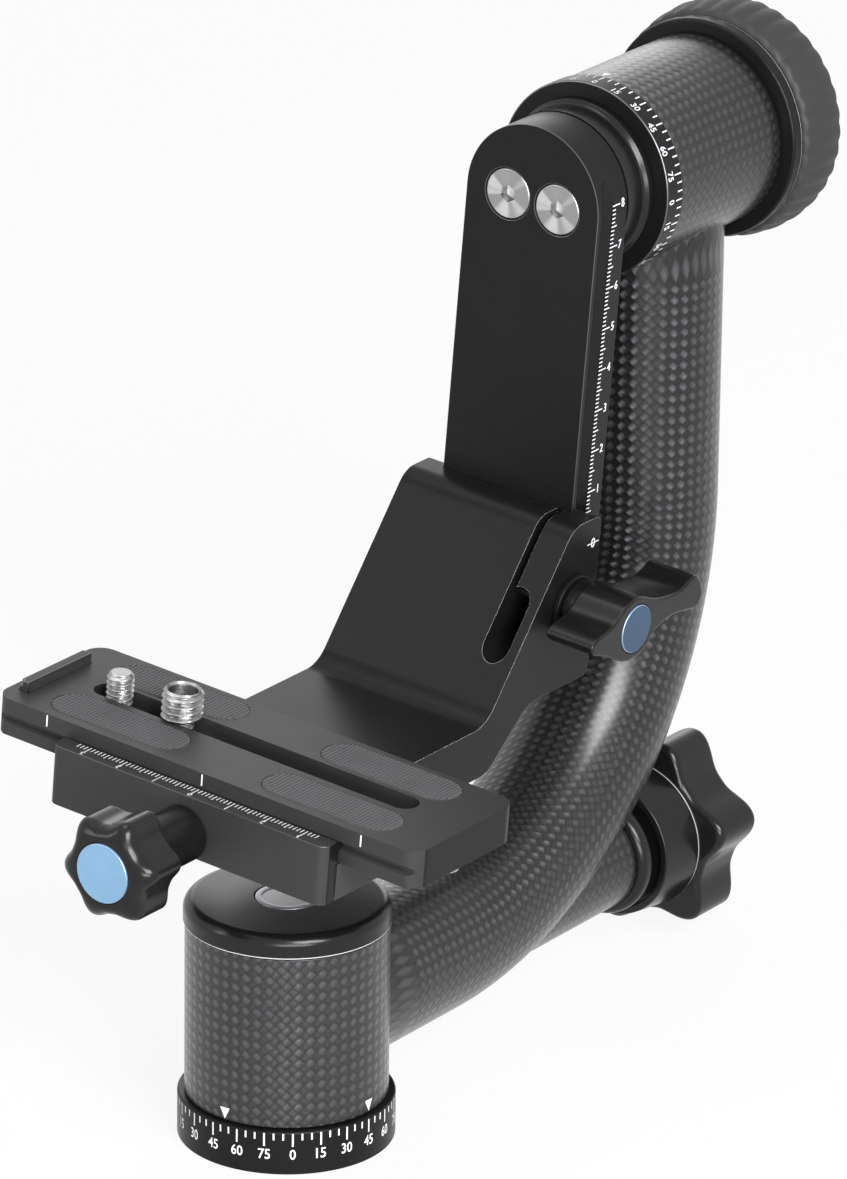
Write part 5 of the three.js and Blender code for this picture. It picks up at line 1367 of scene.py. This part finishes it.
class AddBracket(PieceOperator):
    """Builds the L bracket with its channel, slit and wing knob"""

    bl_idname = "gimbal.add_bracket"
    bl_label = "L bracket"

    # Side profile as x, z and corner radius in millimetres
    PROFILE = (
        (22.2, 85.6, 0), (54.4, 85.6, 8.3), (83.6, 125.4, 6.6), (94.5, 125.4, 2.2),
        (94.5, 85.8, 2.2), (70.6, 85.8, 10.2), (56.3, 73, 7.6), (5.9, 73, 0), (5.9, 78.3, 0),
        (22.2, 78.3, 0),
    )
    # Outline of the wing knob from its axis, in millimetres
    WINGS = (
        (-17.2, 0.3), (-14.7, 2), (-9, 3.4), (-4.3, 6.6), (0.8, 7.5), (8.8, 4.7), (17, 3.9),
        (23.6, 5.8), (26.8, 1.3), (26, -1.7), (24.1, -2.6), (20, -2), (13.8, -1.6), (8, -3.3),
        (5.6, -5.7), (2.6, -7.3), (-3.4, -7.3), (-11.1, -3.6), (-15.6, -1.9),
    )
    # Left, right, lower and upper edge of the zero mark's line, in millimetres
    MARK = (89.6, 94, 119.15, 119.4)
    # Places that the cuts run out to, in millimetres
    CHANNEL_BACK, BELOW, ABOVE, IN_FRONT = 96, 84, 127, 50

    def execute(self, context):
        s, plate = context.scene.gimbal_bracket, context.scene.gimbal_plate
        finest = 0.5 * MM
        outline = rounded(metres(self.PROFILE), steps=16, shortest=finest)
        bracket = prism("bracket", outline, -s.half_width, s.half_width, "XZ")
        slope = plate.groove_run / plate.groove_depth
        shift = FIT * math.hypot(plate.groove_run, plate.groove_depth) / plate.groove_depth
        wall = plate.half_width + FIT
        lip = plate.half_width - plate.groove_depth + FIT
        start = plate.front + plate.groove_start + shift
        half = [
            (plate.front - FIT, wall), (start - FIT * slope, wall),
            (start + (plate.half_width - lip) * slope, lip), (self.CHANNEL_BACK * MM, lip),
        ]
        mirrored = [(x, -y) for x, y in reversed(half)]
        top = self.ABOVE * MM
        channel = prism("channel", half + mirrored, self.BELOW * MM, top, "XY")
        middle = (s.relief_bottom + s.relief_top) / 2
        reach = (s.relief_top - s.relief_bottom) / 2
        near = -s.slit_outer + s.slit_width
        slit = [(-s.slit_outer, middle), (near, middle), (near, top), (-s.slit_outer, top)]
        radius = s.relief_width / 2
        hollow = stadium(near - radius, middle, radius, reach, shortest=finest)
        run = (self.IN_FRONT * MM, plate.front + 0.2 * MM)
        cuts = [prism("cut", shape, *run, "YZ") for shape in (hollow, slit)]
        axis = (s.lock_x, s.lock_z)
        hole = rod("hole", s.screw_hole, -s.half_width - PAST, s.screw_hole_end, "Y", axis)
        carve(bracket, channel, *cuts, hole)
        bevel(bracket, s.bevel)
        settle(bracket, ["black_anodised", "bright_edge"], "bracket", "black_anodised", "l_bracket")
        self.build_knob(s)
        line = box_print(*(edge * MM for edge in self.MARK))
        zero = digits("0", 2.4 * MM, 91.8 * MM, 119.3 * MM, narrow=1)
        side = -s.half_width - PRINT_LIFT
        printed("height_mark", [zero, line], lambda a, b: (a, side, b), "bracket", CRADLE)
        return {"FINISHED"}

    def build_knob(self, s):
        loop = smooth_loop([Vector((x, z)) * MM for x, z in self.WINGS], 7)
        count = len(loop)
        chords = [loop[(k + 1) % count] - loop[k - 1] for k in range(count)]
        outward = [Vector((-chord.y, chord.x)).normalized() for chord in chords]
        edge = [
            (s.knob_edge * (1 - cosine), s.knob_edge * (1 - sine)) for sine, cosine in quarter(5)
        ]
        rows = [(s.knob_outer - rise, inset) for rise, inset in edge]
        rows += [(s.knob_inner + rise, inset) for rise, inset in reversed(edge)]
        vertices = []
        for out, inset in rows:
            for spot, normal in zip(loop, outward, strict=True):
                p = spot - normal * inset
                vertices.append((s.lock_x + p.x, -out, s.lock_z + p.y))
        faces = ring_faces(len(rows), count) + end_faces(len(rows), count)
        knob = shown("wing_knob", vertices, faces, CRADLE)
        around = ("Y", (s.lock_x, s.lock_z), CRADLE)
        cap = cap_in(knob, "wing_cap", s.cap_radius, -s.knob_outer, 0.9 * MM, -1.2 * MM, *around)
        settle(knob, ["gloss_black"], "bracket_lock", "black_anodised", "bracket_lock_knob")
        neck_end = -s.knob_inner - 0.8 * MM
        neck = turned("wing_neck", [
            (s.screw_hole, -s.neck_inner, 0), (s.neck_radius, -s.neck_inner, 0.4 * MM),
            (s.neck_radius, neck_end, 0), (s.screw_hole, neck_end, 0),
        ], *around)
        settle(neck, ["gloss_black"], "bracket_lock", "black_anodised")
        bore = s.screw_hole + 0.1 * MM
        washer = turned("lock_washer", [
            (bore, -s.washer_inner, 0), (s.washer_radius, -s.washer_inner, 0),
            (s.washer_radius, -s.washer_outer, 0.3 * MM), (bore, -s.washer_outer, 0),
        ], *around)
        settle(washer, ["black_anodised"], "bracket", "black_anodised", "bracket_lock_washer")
        finishes = ["blue_anodised", "blue_rim"]
        settle(cap, finishes, "bracket_lock", "blue_anodised", "bracket_lock_cap")


def smooth_loop(points, steps):
    """A closed Catmull-Rom curve through the points."""
    loop = []
    count = len(points)
    for k in range(count):
        a, b, c, d = (points[(k + i) % count] for i in (-1, 0, 1, 2))
        for t in (step / steps for step in range(steps)):
            square = (2 * a - 5 * b + 4 * c - d) * t * t
            loop.append(0.5 * (2 * b + (c - a) * t + square + (3 * b - a - 3 * c + d) * t**3))
    return loop


class AddClamp(PieceOperator):
    """Builds the quick release clamp, its moving jaw and its knob"""

    bl_idname = "gimbal.add_clamp"
    bl_label = "Clamp"

    # Hook of a jaw as distance from the plate's middle and height, in millimetres
    HOOK = ((19.3, 87.24), (19.3, 87.01), (17.7, 86.21), (17.7, 85.77), (19, 84.97))
    # Recess for the bracket's foot between two corners, in millimetres
    FOOT = ((5.6, -24, 72), (23, 24, 78.6))
    # Ends of the two channels in the seat along the clamp, in millimetres
    CHANNELS = ((18.2, 39), (-39, -18.2))
    # Centres of the mount screws' holes, in millimetres
    MOUNTS = ((14, -14), (14, 14))

    def execute(self, context):
        s, lens = context.scene.gimbal_clamp, context.scene.gimbal_lens_plate
        x = lens.centre
        left, right = ([(x + side * w * MM, z * MM) for w, z in self.HOOK] for side in (-1, 1))
        body = prism("clamp", [
            (-s.split, s.bottom), (s.back, s.bottom), (s.back, s.top), *right,
            (right[-1][0], s.seat), (-s.split, s.seat),
        ], -s.half_length, s.half_length, "XZ")
        tools = [block("foot", *metres(self.FOOT))]
        half = s.channel_half_width
        for low, high in metres(self.CHANNELS):
            start, end = (x - half, low, s.channel_floor), (x + half, high, s.seat + PAST)
            tools.append(block("channel", start, end))
        tools += self.bores(s, -s.split - PAST, -s.screw_hole_end, -s.pin_hole_end)
        run = (s.bottom - PAST, s.mount_hole_top)
        tools += [rod("mount_hole", s.pin_hole, *run, "Z", spot) for spot in metres(self.MOUNTS)]
        carve(body, *tools)
        bevel(body, s.bevel)
        settle(body, ["matt_anodised", "dull_edge"], "bracket", "black_anodised", "clamp_body")
        self.build_jaw(s, left)
        self.build_knob(s)
        return {"FINISHED"}

    def bores(self, s, start, screw_end, pin_end):
        """Holes for the clamp screw and the two guide pins, from a start along the axis."""
        low, high = sorted((start, screw_end))
        bores = [rod("screw_hole", s.screw_hole, low, high, "X", (0, s.axis_height))]
        low, high = sorted((start, pin_end))
        for y in (s.pin_place, -s.pin_place):
            bores.append(rod("pin_hole", s.pin_hole, low, high, "X", (y, s.pin_height)))
        return bores

    def build_jaw(self, s, hook):
        jaw = prism("jaw", [
            (-s.jaw_front, s.top), *hook, (hook[-1][0], s.jaw_ledge), (-s.jaw_inner, s.jaw_ledge),
            (-s.jaw_inner, s.bottom), (-s.jaw_front, s.bottom),
        ], -s.half_length, s.half_length, "XZ")
        front, far = -s.jaw_front, -s.jaw_front - PAST
        size = 6 * MM
        corners = []
        for side in (1, -1):
            edge, past = side * s.half_length, side * (s.half_length + PAST)
            corner = [(0, edge, 0), (front, edge, s.corner), (front, 0, 0)]
            arc = rounded(corner, closed=False, steps=12)
            corners.append(prism("corner", arc[1:-1] + [
                (front, edge - side * size), (far, edge - side * size), (far, past),
                (front + size, past), (front + size, edge),
            ], s.bottom - PAST, s.top + PAST, "XY"))
        carve(jaw, *corners, *self.bores(s, PAST - s.jaw_inner, far, -s.jaw_hole_end))
        bevel(jaw, s.bevel)
        # Painted shade: the jaw's end faces take the darker black
        paint_shade_on_ends(jaw, 2, s.half_length)
        finishes = ["matt_anodised", "dull_edge", "black_anodised"]
        settle(jaw, finishes, "jaw", "black_anodised", "clamp_jaw")
        shapes = []
        for k in range(-33, 34):
            reach = (23.2 if k % 5 else 23.7 if k % 10 else 24.3) * MM
            shapes.append(tick(k * MM, s.scale_edge, reach, 0.24 * MM))
            if k % 10 == 0:
                shapes.append(digits(str(abs(k) // 10), s.digit_height, k * MM, s.digit_place, 1))
        top = s.top + PRINT_LIFT
        printed("jaw_scale", shapes, lambda across, up: (-up, across, top), "jaw", CRADLE)

    def build_knob(self, s):
        around = ("X", (0, s.axis_height), CRADLE)
        neck_end = -s.lobes_back - 1 * MM
        neck = turned("clamp_neck", [
            (s.screw_hole, -s.knob_neck, 0), (s.neck_radius, -s.knob_neck, 0.4 * MM),
            (s.neck_radius, neck_end, 0), (s.screw_hole, neck_end, 0),
        ], *around)
        settle(neck, ["black_anodised"], "clamp_lock", "black_anodised")
        rows = rim(-s.lobes_back, -1, 0.9 * MM, s.tip_radius, s.valley_radius)
        nose = s.knob_face - s.lobes_front
        rows += [(
            -s.lobes_front - nose * sine,
            s.tip_radius + (s.nose_radius - s.tip_radius) * (1 - cosine),
            s.valley_radius + (s.nose_radius - s.valley_radius) * (1 - cosine),
        ) for sine, cosine in quarter(12)]
        knob = lobed("clamp_wheel", rows, s.lobes, s.phase, *around[1:])
        cap = cap_in(knob, "clamp_cap", s.cap_radius, -s.knob_face, 0.8 * MM, -1.1 * MM, *around)
        settle(knob, ["gloss_black"], "clamp_lock", "black_anodised", "clamp_knob")
        settle(cap, ["pale_blue", "blue_rim"], "clamp_lock", "blue_anodised", "clamp_knob_cap")


class AddLensPlate(PieceOperator):
    """Builds the lens plate, its pads, stop bar and camera screws"""

    bl_idname = "gimbal.add_lens_plate"
    bl_label = "Lens plate"

    # Outline that is cut out along each side: distance from the middle and height in millimetres
    GROOVE = (
        (20, 87.2), (19, 87.2), (17.4, 86.4), (17.4, 85.6), (18.7, 84.8), (18.7, 81), (20, 81),
    )
    # Places of the position marks along the plate, in millimetres
    MARKS = (43.45, 0, -43.55)
    # Stop bar, its seat and the notch in its end, each between two corners, in millimetres
    BAR = ((-15, 53.4, 90.3), (8, 56, 93.5))
    BAR_SEAT = ((-15.2, 53.2, 90), (8.2, 56.2, 93))
    NOTCH = ((-16, 55.3, 92.4), (-14.2, 57, 94))
    # Section of a pad's rib as place across it and height, in millimetres
    RIB = ((-0.38, 0), (-0.34, 0.2), (-0.22, 0.28), (0.22, 0.28), (0.34, 0.2), (0.38, 0))

    def execute(self, context):
        s = context.scene.gimbal_lens_plate
        half, long = s.half_width, s.half_length
        outline = rounded([(s.centre + a * half, b * long, s.corner) for a, b in CORNERS], steps=14)
        plate = prism("long_plate", outline, s.bottom, s.top, "XY")
        under, over = s.bottom - PAST, s.top + PAST
        tools = []
        for side in (1, -1):
            groove = [(s.centre + side * w * MM, z * MM) for w, z in self.GROOVE]
            tools.append(prism("groove", groove, -long - PAST, long + PAST, "XZ"))
        middle, reach = (s.slot_high + s.slot_low) / 2, (s.slot_high - s.slot_low) / 2
        slot = stadium(s.slot_x, middle, s.slot_half_width, reach)
        tools.append(prism("slot", slot, under, over, "XY"))
        channel = stadium(s.slot_x, middle, s.channel_half_width, reach + 3 * MM)
        tools.append(prism("channel", channel, under, s.channel_top, "XY"))
        pads = [
            (x, side * s.pad_y, f"{row}_{word}")
            for x, row in ((s.pad_front, "front"), (s.pad_back, "back"))
            for side, word in ((1, "left"), (-1, "right"))
        ]
        gap = 0.15 * MM
        for x, y, _ in pads:
            seat = stadium(x, y, s.pad_half_width + gap, s.pad_half_length + gap)
            tools.append(prism("seat", seat, s.pad_seat, over, "XY"))
        tools.append(block("bar_seat", *metres(self.BAR_SEAT)))
        carve(plate, *tools)
        bevel(plate, s.bevel, 0, 3)
        # Painted shade: the plate's end faces take the darker black
        paint_shade_on_ends(plate, 1, long)
        settle(plate, ["matt_anodised", "black_anodised"], "plate", "black_anodised", "lens_plate")
        for pad in pads:
            self.build_pad(s, *pad)
        bar = block("stop_bar", *metres(self.BAR))
        carve(bar, block("notch", *metres(self.NOTCH)))
        bevel(bar, s.bevel)
        settle(bar, ["matt_anodised", "dull_edge"], "plate", "black_anodised", "lens_stop_bar")
        for word, y in (("small", s.small_y), ("large", s.large_y)):
            self.build_screw(s, word, y)
        marks = [tick(y * MM, s.mark_bottom, s.top - 0.3 * MM, 0.4 * MM) for y in self.MARKS]
        on_side = s.centre - half - PRINT_LIFT
        printed("plate_marks", marks, lambda across, up: (on_side, across, up), "plate", CRADLE)
        return {"FINISHED"}

    def build_pad(self, s, x, y, word):
        half, long = s.pad_half_width, s.pad_half_length
        level = s.pad_top - s.rib_height
        base = prism(f"pad_{word}", stadium(x, y, half, long), s.pad_bottom, level, "XY")
        settle(base, ["pad_rubber"], "plate", "ribbed_rubber", f"grip_pad_{word}")
        count = int(2 * long / s.rib_pitch)
        points = len(self.RIB)
        sunk = 0.02 * MM
        vertices, faces = [], []
        for k in range(count):
            place = (k - (count - 1) / 2) * s.rib_pitch
            # Ribs are shorter towards the pad's round ends, and left out at the tips
            far = max(0, abs(place) - (long - half))
            if far >= half - 0.3 * MM:
                continue
            reach = math.sqrt((half - 0.2 * MM) ** 2 - far**2)
            if reach < 1 * MM:
                continue
            first = len(vertices)
            for end in (-reach, reach):
                vertices += [
                    (x + end, y + place + w * MM, level - sunk + z * MM) for w, z in self.RIB
                ]
            rib = [*ring_faces(2, points), *end_faces(2, points)]
            faces += [[first + i for i in face] for face in rib]
        ribs = shown(f"ribs_{word}", vertices, faces, CRADLE)
        settle(ribs, ["pad_rubber"], "plate", "ribbed_rubber")

    def build_screw(self, s, word, y):
        """Builds a camera screw with its slotted head; the large one has a bush on its neck."""
        centre = (s.slot_x, y)
        body = f"{word}_screw"
        axis = CRADLE @ Vector((*centre, s.top))
        up = CRADLE.to_3x3() @ ALONG_Z
        tone = bpy.context.scene.gimbal_finishes.steel
        # Its colour has painted highlight and shade in sectors round the screw's axis
        steel = brushed(f"turned_steel_{word}", tone, 0.28, axis, up)
        name, radius, top = "small_screw", s.small_radius, s.small_top
        if word == "large":
            size = (s.large_radius, s.bush_bottom, s.large_top, s.large_pitch)
            bush = thread("large_bush", *size, centre, s.bush_bore)
            settle(bush, [steel], body, "stainless", "adapter_bush")
            name, radius, top = "large_core", s.core_radius, s.core_top
        screw = thread(name, radius, s.neck_bottom, top, s.small_pitch, centre)
        settle(screw, [steel], body, "stainless")
        head = rod(f"{word}_head", s.head_radius, s.head_bottom, s.head_top, "Z", centre)
        x, far, half = s.slot_x, s.head_radius + PAST, s.head_slot / 2
        low, high = s.head_bottom - PAST, s.head_bottom + s.head_slot_depth
        carve(head, block("slot", (x - far, y - half, low), (x + far, y + half, high)))
        bevel(head, s.bevel)
        settle(head, [steel, steel], body, "stainless", f"{word}_camera_screw")


def thread(name, radius, low, high, pitch, centre, bore=0):
    """A threaded rod or bush along the cradle's upward direction with a chamfered top."""
    at = turning("Z", centre)
    count, rows = 72, int((high - low) / pitch * 12)
    depth = pitch * 0.55
    turns = [2 * math.pi * k / count for k in range(count)]
    vertices = []
    for j in range(rows + 1):
        z = low + (high - low) * j / rows
        for k, turn in enumerate(turns):
            wave = abs(((z - low) / pitch - k / count) % 1 - 0.5) * 2
            reach = radius - depth * min(1, max(0, wave * 1.3 - 0.15))
            vertices.append(at(min(reach, radius - 0.9 * MM + (high - z)), turn, z))
    if bore:
        chamfer = 0.5 * MM
        for z, reach in ((high, bore + chamfer), (high - chamfer, bore), (low, bore)):
            vertices += [at(reach, turn, z) for turn in turns]
    rings = len(vertices) // count
    faces = ring_faces(rings, count, looped=bool(bore)) + ([] if bore else end_faces(rings, count))
    return shown(name, vertices, faces, CRADLE)


class FinishInnerParts(PieceOperator):
    """Gives the parts that keep their own shape their finishes"""

    bl_idname = "gimbal.finish_inner_parts"
    bl_label = "Inner parts"

    def execute(self, context):
        slots = {row["node"]: row["material_slot"] for row in frame["record"]["subparts"]}
        for name, node in frame["nodes"].items():
            if not node.hide_render:
                node.data.materials.clear()
                node.data.materials.append(finish(slots[name]))
        return {"FINISHED"}


class AddStage(PieceOperator):
    """Builds the floor, the lights, the world and the camera"""

    bl_idname = "gimbal.add_stage"
    bl_label = "Stage"

    # Lamps as name, place and size in metres, power in watts
    LAMPS = (
        ("window_front", (-0.68, -1.27, 1.0), (0.9, 0.7), 38),
        ("window_top", (-0.1, 0.3, 2.0), (0.8, 0.8), 8),
        ("window_left", (-1.3, 1.2, 0.9), (0.3, 1.2), 6),
        ("window_rear", (1.5, 0.87, 0.63), (1.2, 0.8), 4),
        ("window_low", (-1.22, -1.18, 0.2), (1.1, 0.4), 20),
    )
    LAMP_TARGET = Vector((0.05, 0, 0.1))

    def execute(self, context):
        scene = context.scene
        s = scene.gimbal_stage
        self.build_floor(s)
        world = bpy.data.worlds.new("studio")
        paint = Paint(world)
        plain = paint.node("ShaderNodeBackground", None, {"Strength": s.world_light})
        paint.finish(paint.white_to_camera("ShaderNodeBackground", 1, plain), "World")
        scene.world = world
        for name, place, size, power in self.LAMPS:
            lamp = bpy.data.lights.new(name, "AREA")
            lamp.shape, lamp.size, lamp.size_y, lamp.energy = "RECTANGLE", *size, power
            made = linked(name, lamp)
            made.location = place
            aim = (self.LAMP_TARGET - Vector(place)).to_track_quat("-Z", "Y")
            made.rotation_euler = aim.to_euler()
        self.build_camera(scene, s)
        scene.view_settings.view_transform = "Standard"
        return {"FINISHED"}

    def build_camera(self, scene, s):
        camera = bpy.data.cameras.new("camera")
        camera.lens, camera.sensor_width = s.lens, s.sensor
        camera.clip_start, camera.clip_end = 0.05, 30
        scene.camera = linked("camera", camera)
        a, e, roll = s.azimuth, s.elevation, s.roll
        right = Vector((math.cos(a), math.sin(a), 0))
        back = Vector((math.sin(a) * math.cos(e), -math.cos(a) * math.cos(e), math.sin(e)))
        up = right.cross(-back)
        axes = (
            right * math.cos(roll) + up * math.sin(roll),
            up * math.cos(roll) - right * math.sin(roll),
            back,
        )
        scene.camera.matrix_world = Matrix.Translation(s.place) @ Matrix(axes).transposed().to_4x4()

    def build_floor(self, s):
        corners = [(a * s.floor_size, b * s.floor_size, 0) for a, b in CORNERS]
        floor = shown("floor", corners, [[0, 1, 2, 3]])
        paint = paint_for("paper")
        tone = paint.mix(paint.noise(1 * MM), (0.78, 0.78, 0.78), (0.82, 0.82, 0.82))
        paper = paint.node("ShaderNodeBsdfDiffuse", None, {"Color": tone})
        seen = paint.white_to_camera("ShaderNodeEmission", 0.9, paper)
        floor.data.materials.append(paint.finish(seen))


GROUPS = {
    "gimbal_base": BaseSizes, "gimbal_arm": ArmSizes, "gimbal_lock": LockSizes,
    "gimbal_tilt": TiltSizes, "gimbal_plate": PlateSizes, "gimbal_bracket": BracketSizes,
    "gimbal_clamp": ClampSizes, "gimbal_lens_plate": LensPlateSizes,
    "gimbal_finishes": Finishes, "gimbal_stage": StageSettings,
}
OPERATORS = (
    AddBase, AddArm, AddPanLock, AddTiltAxis, AddSlidePlate, AddBracket, AddClamp, AddLensPlate,
    FinishInnerParts, AddStage,
)


class GimbalPanel(bpy.types.Panel):
    """Lists the operators in the sidebar"""

    bl_label = "Gimbal tripod head"
    bl_idname = "VIEW3D_PT_gimbal"
    bl_space_type = "VIEW_3D"
    bl_region_type = "UI"
    bl_category = "Gimbal"

    def draw(self, context):
        for operator in OPERATORS:
            self.layout.operator(operator.bl_idname)


def register():
    for name, group in GROUPS.items():
        bpy.utils.register_class(group)
        setattr(bpy.types.Scene, name, bpy.props.PointerProperty(type=group))
    for item in (*OPERATORS, GimbalPanel):
        bpy.utils.register_class(item)


def unregister():
    for item in (GimbalPanel, *reversed(OPERATORS)):
        bpy.utils.unregister_class(item)
    for name, group in reversed(GROUPS.items()):
        delattr(bpy.types.Scene, name)
        bpy.utils.unregister_class(group)


def main():
    register()
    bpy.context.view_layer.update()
    for operator in OPERATORS:
        category, name = operator.bl_idname.split(".")
        getattr(getattr(bpy.ops, category), name)()


if __name__ == "__main__":
    main()
